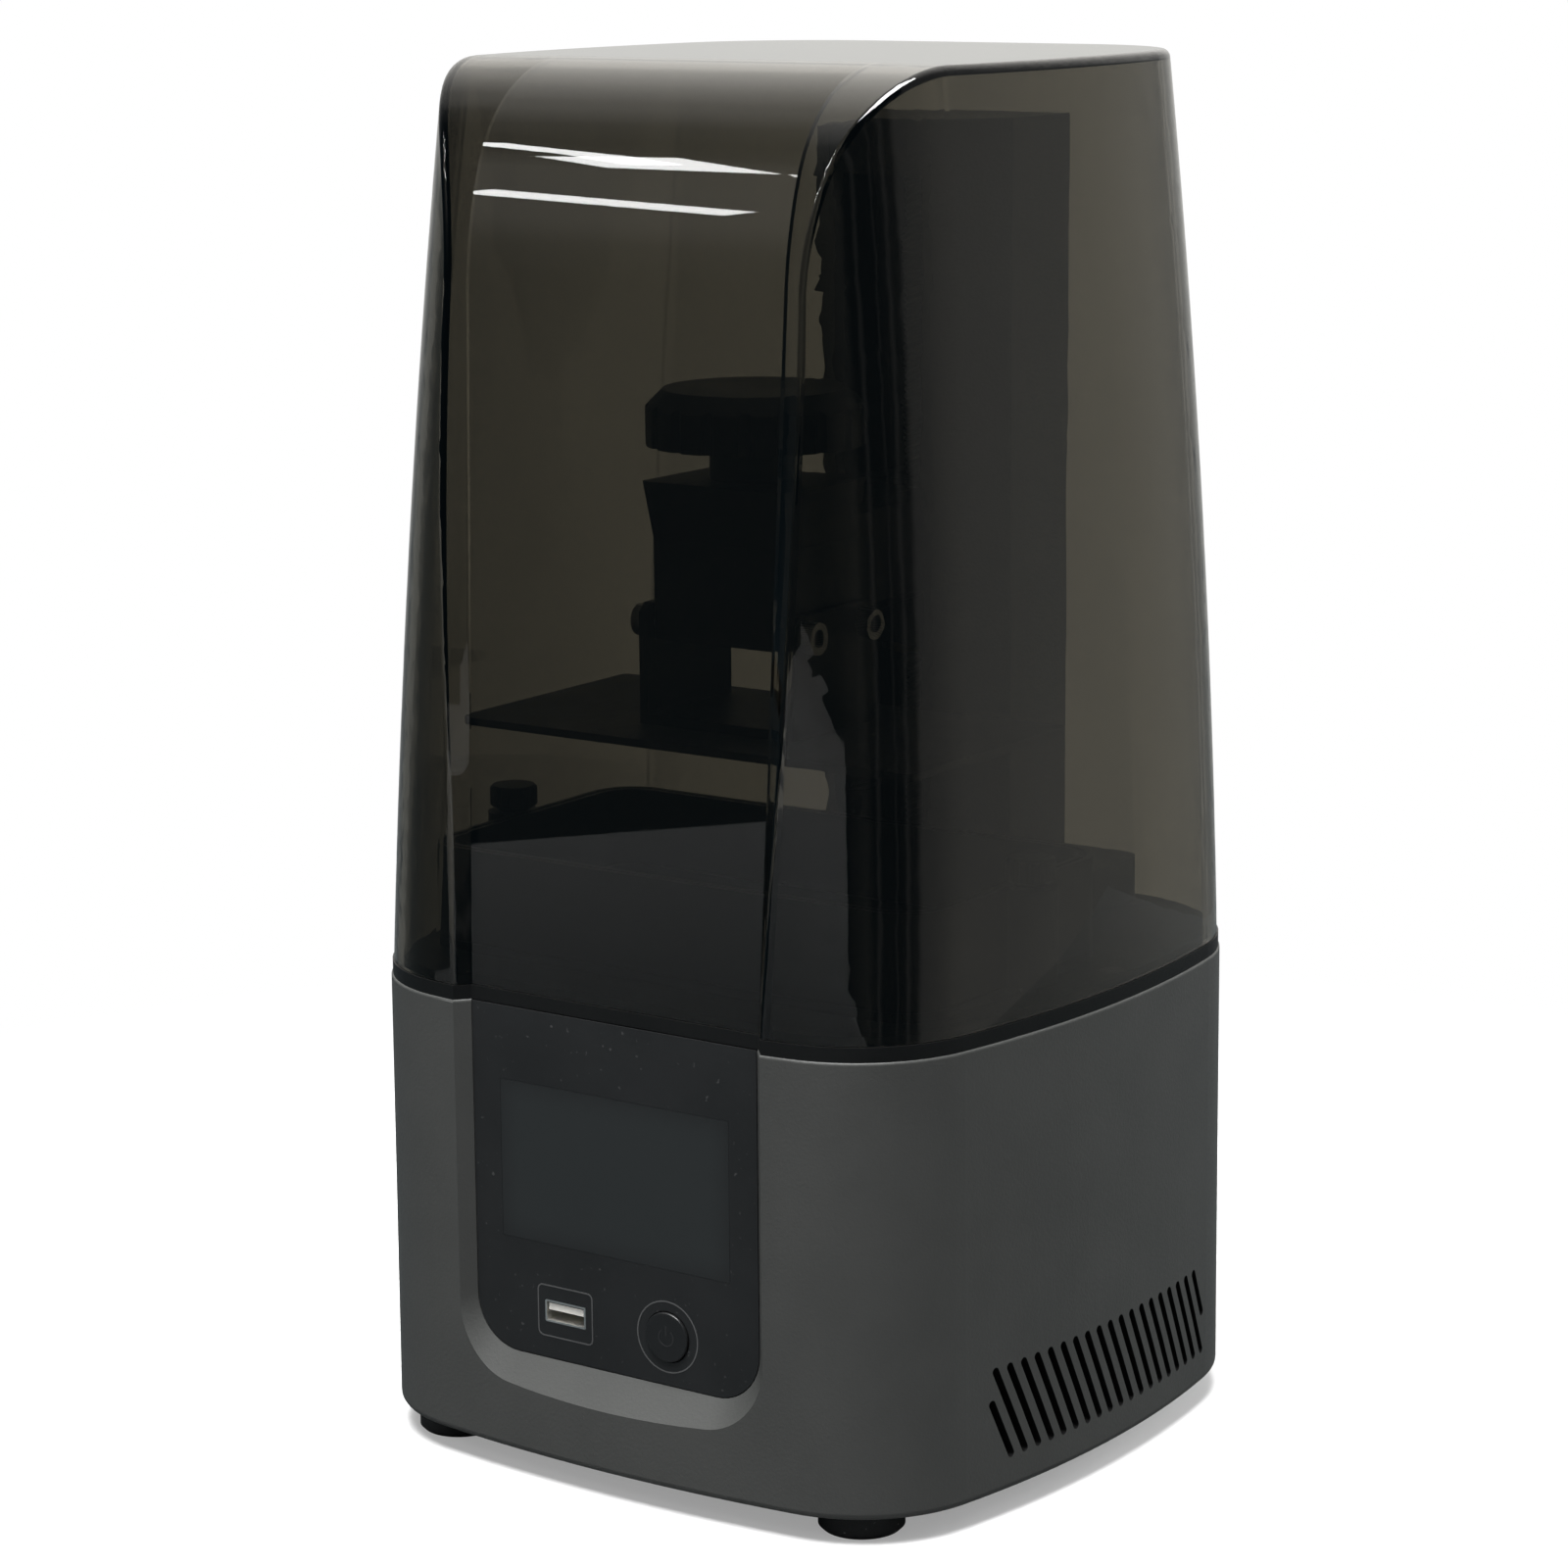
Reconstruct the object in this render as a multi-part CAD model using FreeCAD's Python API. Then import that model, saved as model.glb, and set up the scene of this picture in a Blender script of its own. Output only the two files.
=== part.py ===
import FreeCAD, Part
import math
import os

# Resin printer: a moulded housing with a light mask on top, a vat, a tower that
# lifts a build plate on a screw, and a smoked cover that lifts off.
# Millimetres. X is to the right, Y to the back, Z up, with Z = 0 under the feet.

V = FreeCAD.Vector
UP = V(0, 0, 1)
BACK = V(0, 1, 0)
RIGHT = V(1, 0, 0)

# Clearances
seat_gap = 0.3          # between fixed pieces that are dropped into each other
lift_gap = 0.2          # between the cover's edge and the seal
running_gap = 0.08      # radial gap of a turning shaft
sliding_gap = 0.1       # gap of the sliding carriage on its rail
through = 2.0           # overrun of a cutting tool past the face that it cuts
reach_out = 160.0       # size of tools that cut everything on one side
near = 0.01             # tolerance for picking an edge by its place

# Housing
foot_height = 7.0
foot_radius = 11.8
foot_chamfer = 1.0
foot_x = 69.0
foot_front_y = -75.0
foot_back_y = 72.0
housing_half_width = 103.0
housing_half_depth = 98.5
housing_height = 126.0
housing_flare = 0.6
housing_wall = 3.0
bottom_edge_radius = 2.0
rim_edge_radius = 0.8
widest_y = 10.7
side_bow_radius = 325.0
front_bow_radius = 494.0
back_bow_radius = 2500.0
front_corner_radius = 41.0
back_corner_radius = 47.0
ledge_width = 9.0
ledge_thickness = 6.0
floor_ring_width = 17.0
floor_ring_thickness = 3.0
base_plate_thickness = 1.5
base_plate_inset = 6.0

# Front recess and panel
recess_depth = 6.5
recess_half_width = 48.0
recess_bottom = 27.0
recess_corner_radius = 14.5
recess_step_width = 3.0
recess_step_depth = 3.5
recess_bevel_drop = 9.0
recess_wall = 6.0
panel_thickness = 3.0
panel_ledge = 6.0
screen_half_width = 38.5
screen_bottom = 60.0
screen_top = 105.0
screen_thickness = 6.0
screen_border = 3.0
usb_x = -17.3
usb_lift = 40.8
usb_width = 13.9
usb_height = 6.3
usb_length = 15.0
usb_wall = 0.5
usb_tongue_height = 1.9
button_x = 17.5
button_lift = 41.0
button_radius = 7.0
button_proud = 0.8
button_travel = 1.2
button_length = 5.0
button_board_half = 10.0
button_board_thickness = 1.6

# Side vents
vent_count = 20
vent_pitch = 5.58
vent_first_y = -46.5
vent_front_y = -53.8
vent_back_y = 54.2
vent_bottom = 10.5
vent_top = 35.0
vent_slant = 0.47
vent_width = 2.4
vent_tool_depth = 40.0

# Seal and deck
seal_height = 4.0
seal_width = 4.0
seal_inset = 0.4
deck_thickness = 6.0
deck_screw_radius = 2.0
deck_screw_head = 3.6
deck_screw_setback = 5.4

# Cover
cover_height = 249.3
cover_wall = 3.0
cover_inset = 0.7
cover_draw_in = 18.4
cover_bulge = 2.75
cover_front_setback = 11.2
cover_back_setback = 3.0
cover_front_corner_top = 46.0
cover_back_corner_top = 44.0
cover_roll_radius = 40.5
cover_roll_low_radius = 114.0
cover_roll_low_angle = 17.0
cover_edge_radius = 2.5
cover_flat_setback = 11.7
cover_flat_top_half_width = 51.7
cover_step_top_width = 6.9
cover_step_top_depth = 1.7
cover_step_height = 189.0
cover_sections = 5

# Head, plate and vat share one centre
plate_room = 9.0
plate_thickness = 2.2
plate_lift = 63.0
plate_corner = 2.0
bracket_half_width = 25.7
bracket_half_length = 20.0
bracket_wall = 2.7
bracket_height = 33.8
level_screw_pitch = 28.0
level_screw_radius = 2.5
level_head_radius = 4.5
level_head_length = 4.0
level_screw_drop = 5.7
level_screw_grip = 2.5
level_hole_depth = 5.0
block_half_width = 22.5
block_half_depth = 18.0
block_lift = 26.0
block_height = 44.0
block_flare = 2.0
block_flare_height = 16.0
block_chamfer = 1.0
knob_radius = 30.0
knob_height = 15.4
knob_chamfer = 4.8
knob_flutes = 18
knob_flute_radius = 2.2
hub_radius = 12.5
hub_height = 9.6
stud_radius = 4.0
stud_length = 22.0

# Arm, screw and rail
tower_half_width = 32.5
tower_depth = 46.0
tower_back_room = 9.5
tower_height = 228.0
tower_wall = 2.5
tower_chamfer = 15.0
tower_cap_thickness = 3.0
tower_slot_half = 14.0
plinth_half_width = 58.0
plinth_depth = 55.5
plinth_back_room = 8.0
plinth_height = 13.0
plinth_corner = 6.0
plinth_wall = 3.0
screw_setback = 27.0
screw_radius = 4.0
screw_top_gap = 3.0
nut_radius = 6.5
nut_flange_radius = 11.0
nut_flange_thickness = 3.5
nut_length = 18.0
arm_half_width = 12.5
arm_block_lift = 14.0
arm_block_height = 48.0
arm_block_setback = 5.0
arm_beam_lift = 28.5
arm_beam_height = 31.5
arm_chamfer = 2.5
rail_half_width = 6.0
rail_height = 8.0
rail_end_gap = 7.0
carriage_half_width = 13.5
carriage_length = 45.0
carriage_height = 10.0
carriage_grip = 4.0
bearing_radius = 8.0
bearing_length = 5.0
bearing_boss_wall = 4.0
motor_half = 21.1
motor_height = 40.0
motor_corner = 4.0
motor_drop = 28.0
motor_boss_radius = 11.0
motor_boss_height = 2.0
motor_shaft_radius = 2.5
motor_shaft_length = 15.0
coupling_radius = 9.5
coupling_length = 24.0
coupling_gap = 2.0
bracket_plate_thickness = 3.0
limit_width = 8.0
limit_depth = 12.0
limit_height = 15.0

# Vat and mask
vat_side_room = 19.0
vat_front_room = 29.5
vat_back_room = 8.0
vat_height = 26.7
vat_wall = 4.0
vat_corner = 14.0
vat_lip = 1.5
ear_reach = 3.0
ear_radius = 7.5
film_thickness = 0.2
frame_thickness = 2.6
frame_width = 5.5
film_screw_radius = 1.0
film_screw_length = 6.0
film_screws_long = 9
film_screws_short = 3
mask_thickness = 2.4
mask_window_inset = 6.0
thumb_radius = 6.9
thumb_height = 6.4
thumb_chamfer = 0.8
thumb_neck_radius = 4.7
thumb_neck_height = 1.1
thumb_shaft_radius = 2.5
thumb_flutes = 12
thumb_flute_radius = 1.1

# Light source under the mask
hood_wall = 2.0
hood_height = 63.0
hood_flange = 5.0
hood_ledge = 4.0
hood_side_room = 11.0
hood_end_room = 9.0
light_board_thickness = 1.6
emitter_columns = 6
emitter_rows = 3
emitter_radius = 4.0
emitter_height = 2.0
lens_lift = 12.0
lens_thickness = 3.0
lens_dome_radius = 9.0
sink_base = 5.0
sink_fin_height = 23.0
sink_fin_thickness = 2.0
sink_fin_count = 12

# Electronics in the housing
board_length = 110.0
board_width = 70.0
board_thickness = 1.6
board_lift = 11.0
board_side_room = 23.0
board_y = -20.0
post_radius = 3.0
post_inset = 6.0
processor_side = 18.0
processor_height = 3.0
driver_length = 14.0
driver_width = 10.0
driver_height = 6.0
plug_row_length = 22.0
plug_row_width = 8.0
plug_row_height = 9.0
fan_half = 25.0
fan_depth = 15.0
fan_y = 30.0
fan_inset = 6.0
fan_bore_radius = 23.0
fan_hub_radius = 10.0
fan_blades = 7
fan_blade_thickness = 1.2
fan_blade_pitch = 35.0
fan_shaft_radius = 1.5
fan_tip_gap = 0.8
fan_strut = 3.0
inlet_x = 34.0
inlet_lift = 33.0
inlet_width = 20.0
inlet_height = 14.0
inlet_depth = 16.0
inlet_flange = 2.5
inlet_hole_radius = 4.0
inlet_pin_radius = 1.2
inlet_hole_depth = 8.0
inlet_pin_length = 5.3
base_screw_radius = 1.5
base_screw_head = 3.0
base_screw_length = 8.0
side_screw_y = -30.0

# Levels worked out from the sizes above
bottom_z = foot_height
rim_z = bottom_z + housing_height
seal_top_z = rim_z + seal_height
deck_top_z = rim_z + deck_thickness
usb_z = bottom_z + usb_lift
button_z = bottom_z + button_lift
vent_bottom_z = bottom_z + vent_bottom
vent_top_z = bottom_z + vent_top
inlet_z = bottom_z + inlet_lift
cover_bottom_z = seal_top_z + lift_gap
cover_top_z = cover_bottom_z + cover_height
recess_y = -(housing_half_depth - recess_depth)
recess_bottom_z = bottom_z + recess_bottom
deck_inset = seal_inset + seal_width + seat_gap
tower_back_y = housing_half_depth - tower_back_room
tower_front_y = tower_back_y - tower_depth
plinth_back_y = housing_half_depth - plinth_back_room
plinth_front_y = plinth_back_y - plinth_depth
screw_y = tower_back_y - screw_setback
arm_block_front_y = tower_front_y + arm_block_setback
vat_half_width = housing_half_width - vat_side_room
vat_front_y = vat_front_room - housing_half_depth
vat_back_y = plinth_front_y - vat_back_room
vat_half_depth = (vat_back_y - vat_front_y) / 2
head_y = (vat_back_y + vat_front_y) / 2
ear_x = vat_half_width + ear_reach
plate_half_width = vat_half_width - plate_room
plate_half_depth = vat_half_depth - plate_room
hood_half_width = vat_half_width - hood_side_room
hood_half_depth = vat_half_depth - hood_end_room
board_x = board_side_room + board_length / 2 - housing_half_width
mask_top_z = deck_top_z + mask_thickness
film_bottom_z = deck_top_z + frame_thickness
vat_bottom_z = film_bottom_z + film_thickness
vat_top_z = vat_bottom_z + vat_height
plate_rest_z = deck_top_z + plate_lift
plate_top_z = plate_rest_z + plate_thickness
arm_block_bottom = plate_rest_z + arm_block_lift
arm_beam_bottom = plate_rest_z + arm_beam_lift
block_bottom_z = plate_rest_z + block_lift
block_top_z = block_bottom_z + block_height
knob_bottom_z = block_top_z + seat_gap + hub_height
tower_top_z = deck_top_z + tower_height
motor_top_z = rim_z - motor_drop
hood_bottom_z = rim_z - hood_height


def box(x0, x1, y0, y1, z0, z1):
    """A block between two corners."""
    return Part.makeBox(x1 - x0, y1 - y0, z1 - z0, V(x0, y0, z0))


def rod(radius, x, y, z0, z1):
    """An upright round bar."""
    return Part.makeCylinder(radius, z1 - z0, V(x, y, z0), UP)


def bar_along(axis, radius, start, length):
    """A round bar from a point along an axis."""
    return Part.makeCylinder(radius, length, start, axis)


def edges_along(shape, axis):
    """The edges that run along an axis."""
    runs = [(e, e.tangentAt(e.FirstParameter)) for e in shape.Edges]
    return [e for e, run in runs if abs(run.dot(axis)) > run.cross(axis).Length]


def rounded_block(x0, x1, y0, y1, z0, z1, radius):
    """A block with its four upright edges rounded."""
    block = box(x0, x1, y0, y1, z0, z1)
    return block.makeFillet(radius, edges_along(block, UP))


def arc(start, middle, end):
    """An edge through three points."""
    return Part.Arc(start, middle, end).toShape()


def line(start, end):
    """A straight edge."""
    return Part.LineSegment(start, end).toShape()


def tangent_centre(c1, r1, c2, r2, end):
    """Centre at r1 from c1 and r2 from c2, on the side of larger end * y."""
    across = c2 - c1
    span = across.Length
    along = (r1 * r1 - r2 * r2 + span * span) / (2 * span)
    off = math.sqrt(r1 * r1 - along * along)
    unit = across / span
    foot = c1 + unit * along
    side = V(-unit.y, unit.x, 0) * off
    return max((foot + side, foot - side), key=lambda p: end * p.y)


def plan_wire(z, half_width, front, back, front_corner, back_corner, inset):
    """Outline with bowed sides and round corners, drawn in by an inset."""
    side_r = side_bow_radius - inset
    side_c = V(half_width - side_bow_radius, widest_y, 0)
    half = []
    for end, reach, bow, corner in ((-1, front, front_bow_radius, front_corner),
                                    (1, back, back_bow_radius, back_corner)):
        end_r = bow - inset
        end_c = V(0, end * (reach - bow), 0)
        corner_r = corner - inset
        centre = tangent_centre(side_c, side_r - corner_r, end_c, end_r - corner_r, end)
        on_side = side_c + (centre - side_c).normalize() * side_r
        on_end = end_c + (centre - end_c).normalize() * end_r
        middle = centre + ((on_side + on_end) * 0.5 - centre).normalize() * corner_r
        half.append((on_end, middle, on_side, V(0, end * (reach - inset), 0)))
    (f_end, f_mid, f_side, f_apex), (b_end, b_mid, b_side, b_apex) = half
    flank = V(half_width - inset, widest_y, 0)

    def right(p):
        return V(p.x, p.y, z)

    def left(p):
        return V(-p.x, p.y, z)

    return Part.Wire([
        arc(left(f_end), right(f_apex), right(f_end)),
        arc(right(f_end), right(f_mid), right(f_side)),
        arc(right(f_side), right(flank), right(b_side)),
        arc(right(b_side), right(b_mid), right(b_end)),
        arc(right(b_end), right(b_apex), left(b_end)),
        arc(left(b_end), left(b_mid), left(b_side)),
        arc(left(b_side), left(flank), left(f_side)),
        arc(left(f_side), left(f_mid), left(f_end))])


def housing_wire(z, inset):
    """The housing's outline at its rim, drawn in by an inset."""
    return plan_wire(z, housing_half_width, housing_half_depth, housing_half_depth,
                     front_corner_radius, back_corner_radius, inset)


def housing_slab(inset, z0, z1):
    """An upright slab with the housing's outline."""
    return Part.Face(housing_wire(z0, inset)).extrude(V(0, 0, z1 - z0))


def step_lean():
    """How far the recess's side runs out for each millimetre towards the front."""
    return recess_step_width / recess_step_depth


def step_miter(inset):
    """Shift of the recess's corner when its faces move back by an inset."""
    return inset * math.tan(math.atan2(recess_step_depth, recess_step_width) / 2)


def recess_notch(inset, z0, z1):
    """Upright tool for the recess in the seal and the deck, set back by an inset."""
    y = recess_y + inset
    half = recess_half_width + step_miter(inset)
    y_front = -housing_half_depth - through
    half_front = half + step_lean() * (y - y_front)
    points = [V(-half, y, z0), V(-half_front, y_front, z0), V(half_front, y_front, z0), V(half, y, z0)]
    return Part.Face(Part.makePolygon(points + points[:1])).extrude(V(0, 0, z1 - z0))


def panel_wire(y, half_width, z0, z1, radius):
    """A tall outline with round lower corners, upright on a plane of constant Y."""
    k = radius * (1 - math.sqrt(0.5))
    return Part.Wire([
        line(V(-half_width, y, z1), V(-half_width, y, z0 + radius)),
        arc(V(-half_width, y, z0 + radius), V(-half_width + k, y, z0 + k), V(-half_width + radius, y, z0)),
        line(V(-half_width + radius, y, z0), V(half_width - radius, y, z0)),
        arc(V(half_width - radius, y, z0), V(half_width - k, y, z0 + k), V(half_width, y, z0 + radius)),
        line(V(half_width, y, z0 + radius), V(half_width, y, z1)),
        line(V(half_width, y, z1), V(-half_width, y, z1))])


def panel_slab(inset, y0, y1, z_top):
    """A slab with the panel's outline, drawn in by an inset."""
    wire = panel_wire(y0, recess_half_width - inset, recess_bottom_z + inset, z_top,
                      recess_corner_radius - inset)
    return Part.Face(wire).extrude(V(0, y1 - y0, 0))


def recess_tool(inset, set_back, z_top):
    """The recess with its bevelled sides and bottom, grown by an inset for the wall behind it."""
    y = recess_y + set_back
    reach = recess_depth + set_back + through
    inner = panel_wire(y, recess_half_width + inset, recess_bottom_z - inset, z_top,
                       recess_corner_radius + inset)
    grow = step_lean() * reach
    drop = recess_bevel_drop / recess_depth * reach
    outer = panel_wire(y - reach, recess_half_width + inset + grow, recess_bottom_z - inset - drop, z_top,
                       recess_corner_radius + inset + min(grow, drop))
    return Part.makeLoft([inner, outer], True, True)


def capsule_along_x(y1, z1, y2, z2, width, x0, x1):
    """A slot tool with round ends, along X."""
    a = V(x0, y1, z1)
    b = V(x0, y2, z2)
    run = (b - a).normalize()
    side = V(0, -run.z, run.y) * (width / 2)
    tip = run * (width / 2)
    wire = Part.Wire([line(a + side, b + side), arc(b + side, b + tip, b - side),
                      line(b - side, a - side), arc(a - side, a - tip, a + side)])
    return Part.Face(wire).extrude(V(x1 - x0, 0, 0))


def vent_tools():
    """Slanted slots in both flanks, cut short at the ends of the group."""
    tools = []
    for i in range(vent_count):
        y_low = vent_first_y + i * vent_pitch
        z_low = max(vent_bottom_z, vent_bottom_z + (y_low - vent_back_y) / vent_slant)
        z_high = min(vent_top_z, vent_bottom_z + (y_low - vent_front_y) / vent_slant)
        ends = [(y_low - vent_slant * (z - vent_bottom_z), z) for z in (z_low, z_high)]
        for x0, x1 in ((housing_half_width - vent_tool_depth, reach_out),
                       (-reach_out, vent_tool_depth - housing_half_width)):
            tools.append(capsule_along_x(*ends[0], *ends[1], vent_width, x0, x1))
    return tools


def inlet_opening(gap):
    """Tool for the power inlet's hole in the back wall."""
    return box(inlet_x - inlet_width / 2 - gap, inlet_x + inlet_width / 2 + gap,
               housing_half_depth - inlet_depth, housing_half_depth + through,
               inlet_z - inlet_height / 2 - gap, inlet_z + inlet_height / 2 + gap)


def base_shell():
    low = plan_wire(bottom_z, housing_half_width + housing_flare, housing_half_depth, housing_half_depth,
                    front_corner_radius, back_corner_radius, 0)
    body = Part.makeLoft([low, housing_wire(rim_z, 0)], True, True)
    foot_edges = [e for e in body.Edges if e.BoundBox.ZMax < bottom_z + near]
    body = body.makeFillet(bottom_edge_radius, foot_edges)
    body = body.cut(recess_tool(0, 0, rim_z + through))
    rim_edges = [e for e in body.Edges if e.BoundBox.ZMin > rim_z - near]
    body = body.makeFillet(rim_edge_radius, rim_edges)
    floor_z = bottom_z + base_plate_thickness + floor_ring_thickness
    ledge_z = rim_z - ledge_thickness
    cavity = housing_slab(housing_wall, floor_z, ledge_z)
    cavity = cavity.cut(recess_tool(housing_wall, recess_wall, rim_z + through))
    mouth_inset = housing_wall + ledge_width
    mouth = housing_slab(mouth_inset, ledge_z - through, rim_z + through)
    mouth = mouth.cut(recess_notch(mouth_inset, ledge_z - 2 * through, rim_z + 2 * through))
    ring_inset = housing_wall + floor_ring_width
    hatch = housing_slab(ring_inset, bottom_z - through, floor_z + through)
    rebate = housing_slab(base_plate_inset, bottom_z - through, bottom_z + base_plate_thickness)
    pocket = panel_slab(0, recess_y - through, recess_y + panel_thickness, rim_z + through)
    window = panel_slab(panel_ledge, recess_y, recess_y + recess_wall + through, ledge_z)
    body = body.cut([cavity, mouth, hatch, rebate, pocket, window, inlet_opening(seat_gap)])
    body = body.cut(vent_tools())
    return body.cut(base_screw_tools())


def screw_spots():
    """Places of the screws that hold the bottom sheet."""
    inset = housing_wall + floor_ring_width / 2
    x = housing_half_width - inset
    y = housing_half_depth - inset
    return [V(-x, side_screw_y, 0), V(x, side_screw_y, 0), V(-foot_x / 2, -y, 0), V(foot_x / 2, -y, 0),
            V(-foot_x / 2, y, 0), V(foot_x / 2, y, 0)]


def base_screw_tools():
    """Holes for the bottom screws in the floor ring."""
    top = bottom_z + base_plate_thickness + floor_ring_thickness + through
    return [rod(base_screw_radius, p.x, p.y, bottom_z - through, top) for p in screw_spots()]


def base_plate():
    sheet = housing_slab(base_plate_inset + seat_gap, bottom_z, bottom_z + base_plate_thickness)
    return sheet.cut(base_screw_tools())


def base_screws():
    screws = []
    for p in screw_spots():
        head = rod(base_screw_head, p.x, p.y, bottom_z - base_screw_radius, bottom_z)
        shank = rod(base_screw_radius, p.x, p.y, bottom_z, bottom_z + base_screw_length)
        screws.append(head.fuse(shank).removeSplitter())
    return Part.makeCompound(screws)


def foot_pads():
    pads = []
    for x in (-foot_x, foot_x):
        for y in (foot_front_y, foot_back_y):
            pad = rod(foot_radius, x, y, 0, foot_height)
            low_edge = [e for e in pad.Edges if e.BoundBox.ZMax < near]
            pads.append(pad.makeChamfer(foot_chamfer, low_edge))
    return Part.makeCompound(pads)


def cover_seal():
    ring = housing_slab(seal_inset, rim_z, seal_top_z)
    ring = ring.cut(recess_notch(seal_inset, rim_z - through, seal_top_z + through))
    inner = housing_slab(seal_inset + seal_width, rim_z - through, seal_top_z + through)
    inner = inner.cut(recess_notch(seal_inset + seal_width, rim_z - 2 * through, seal_top_z + 2 * through))
    return ring.cut(inner)


def ear_spots():
    """Axes of the two thumb screws that hold the vat."""
    return [V(-ear_x, head_y, 0), V(ear_x, head_y, 0)]


def top_deck():
    deck = housing_slab(deck_inset, rim_z, deck_top_z)
    deck = deck.cut(recess_notch(deck_inset, rim_z - through, deck_top_z + through))
    x = mask_half_width() - mask_window_inset
    y = mask_half_depth() - mask_window_inset
    window = box(-x, x, head_y - y, head_y + y, rim_z - through, deck_top_z + through)
    screw_hole = rod(nut_radius, 0, screw_y, rim_z - through, deck_top_z + through)
    tools = [window, screw_hole]
    for p in ear_spots():
        tools.append(rod(thumb_shaft_radius + running_gap, p.x, p.y, rim_z - through, deck_top_z + through))
    for p in deck_screw_spots():
        tools.append(rod(deck_screw_radius, p.x, p.y, rim_z - through, deck_top_z + through))
        tools.append(rod(deck_screw_head + seat_gap, p.x, p.y, deck_top_z - deck_screw_radius,
                         deck_top_z + through))
    return deck.cut(tools)


def deck_screw_spots():
    """Places of the screws that hold the deck on the housing's ledge."""
    inset = deck_inset + ledge_width / 2
    x = housing_half_width - inset
    y = housing_half_depth - inset - deck_screw_setback
    return [V(-x, widest_y, 0), V(x, widest_y, 0), V(-plinth_half_width, y, 0), V(plinth_half_width, y, 0)]


def deck_screws():
    screws = []
    for p in deck_screw_spots():
        head = rod(deck_screw_head, p.x, p.y, deck_top_z - deck_screw_radius, deck_top_z)
        shank = rod(deck_screw_radius, p.x, p.y, rim_z, deck_top_z - deck_screw_radius)
        screws.append(head.fuse(shank).removeSplitter())
    return Part.makeCompound(screws)


def cover_half_width(share):
    """Half width of the cover at a share of its height, on a bulging line."""
    chord = housing_half_width - cover_inset - cover_draw_in * share
    return chord + 4 * cover_bulge * share * (1 - share)


def cover_walls(inset, z0):
    """The tapering tube of the cover's side walls, drawn in by an inset."""
    wires = []
    last = 1 + through / cover_height
    for i in range(cover_sections):
        share = last * i / (cover_sections - 1)
        front = housing_half_depth - cover_inset - cover_front_setback * share
        back = housing_half_depth - cover_inset - cover_back_setback * share
        front_corner = front_corner_radius + (cover_front_corner_top - front_corner_radius) * share
        back_corner = back_corner_radius + (cover_back_corner_top - back_corner_radius) * share
        z = cover_bottom_z + cover_height * share
        wires.append(plan_wire(z, cover_half_width(share), front, back, front_corner, back_corner, inset))
    tube = Part.makeLoft(wires, True, False)
    if z0 < cover_bottom_z:
        skirt = Part.Face(wires[0]).extrude(V(0, 0, z0 - cover_bottom_z))
        tube = tube.fuse(skirt)
    return tube


def cover_front_y(z, inset):
    """Y of the flat front at a height."""
    lean = cover_flat_setback / cover_height
    return recess_y + cover_inset + lean * (z - cover_bottom_z) + inset * math.hypot(1, lean)


def cover_roll_face(inset, z0, x):
    """Profile of all that lies in front of the flat front and above the roll-over and the top."""
    top = cover_top_z - inset
    high = cover_roll_radius - inset
    low = cover_roll_low_radius - inset
    lean = math.atan2(cover_flat_setback, cover_height)
    turn = lean + math.radians(cover_roll_low_angle)

    def outward(angle):
        return V(0, -math.cos(angle), math.sin(angle))

    high_centre = V(x, 0, top - high)
    low_centre = high_centre + outward(turn) * (high - low)
    start = low_centre + outward(lean) * low
    shift = BACK * (cover_front_y(start.z, inset) - start.y)
    low_middle = low_centre + outward((lean + turn) / 2) * low
    join = high_centre + outward(turn) * high
    high_middle = high_centre + outward((turn + math.pi / 2) / 2) * high
    end = high_centre + UP * high
    start, low_middle, join, high_middle, end = [p + shift for p in (start, low_middle, join, high_middle, end)]
    foot = V(x, cover_front_y(z0, inset), z0)
    points = [V(x, reach_out, top), V(x, reach_out, top + reach_out),
              V(x, -reach_out, top + reach_out), V(x, -reach_out, z0)]
    edges = [line(foot, start), arc(start, low_middle, join), arc(join, high_middle, end),
             line(end, points[0])]
    edges += [line(a, b) for a, b in zip(points, points[1:])]
    edges.append(line(points[-1], foot))
    return Part.Face(Part.Wire(edges))


def cover_step_x(inset, half, width, depth):
    """X of the step's inner corner when its faces move back by an inset."""
    return half + inset * math.tan(math.atan2(depth, width) / 2)


def cover_wing_top(inset):
    """Room of the right wing above the tapering step, where the step follows the roll-over."""
    z = cover_bottom_z + cover_step_height
    x = cover_step_x(inset, cover_flat_top_half_width, cover_step_top_width, cover_step_top_depth)
    run = V(cover_step_top_width, -cover_step_top_depth, 0) * (reach_out / cover_step_top_width)
    room = box(x, reach_out, -reach_out, reach_out, z, cover_top_z + reach_out)
    return room.cut(cover_roll_face(inset, z - through, x).extrude(run))


def cover_wing(inset, z0):
    """Room of the right wing beside the step, which stands in front of the flat front."""
    sections = []
    top_z = cover_bottom_z + cover_step_height
    for z, half, width, depth in (
            (z0, recess_half_width, recess_step_width, recess_step_depth),
            (top_z, cover_flat_top_half_width, cover_step_top_width, cover_step_top_depth)):
        y = cover_front_y(z, inset)
        x = cover_step_x(inset, half, width, depth)
        y_out = y - 2 * recess_depth * depth / recess_step_depth
        x_out = x + (y - y_out) * width / depth
        points = [V(x, y + cover_wall, z), V(x, y, z), V(x_out, y_out, z), V(reach_out, y_out, z),
                  V(reach_out, y + cover_wall, z)]
        sections.append(Part.makePolygon(points + points[:1]))
    return Part.makeLoft(sections, True, True)


def cover_form(inset, z0):
    """The cover's outer form, or its hollow when drawn in by the wall."""
    rooms = [cover_wing(inset, z0), cover_wing_top(inset)]
    rooms += [room.mirror(V(0, 0, 0), RIGHT) for room in rooms]
    tool = cover_roll_face(inset, z0, -reach_out).extrude(RIGHT * (2 * reach_out))
    return cover_walls(inset, z0).cut(tool.cut(rooms))


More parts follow.
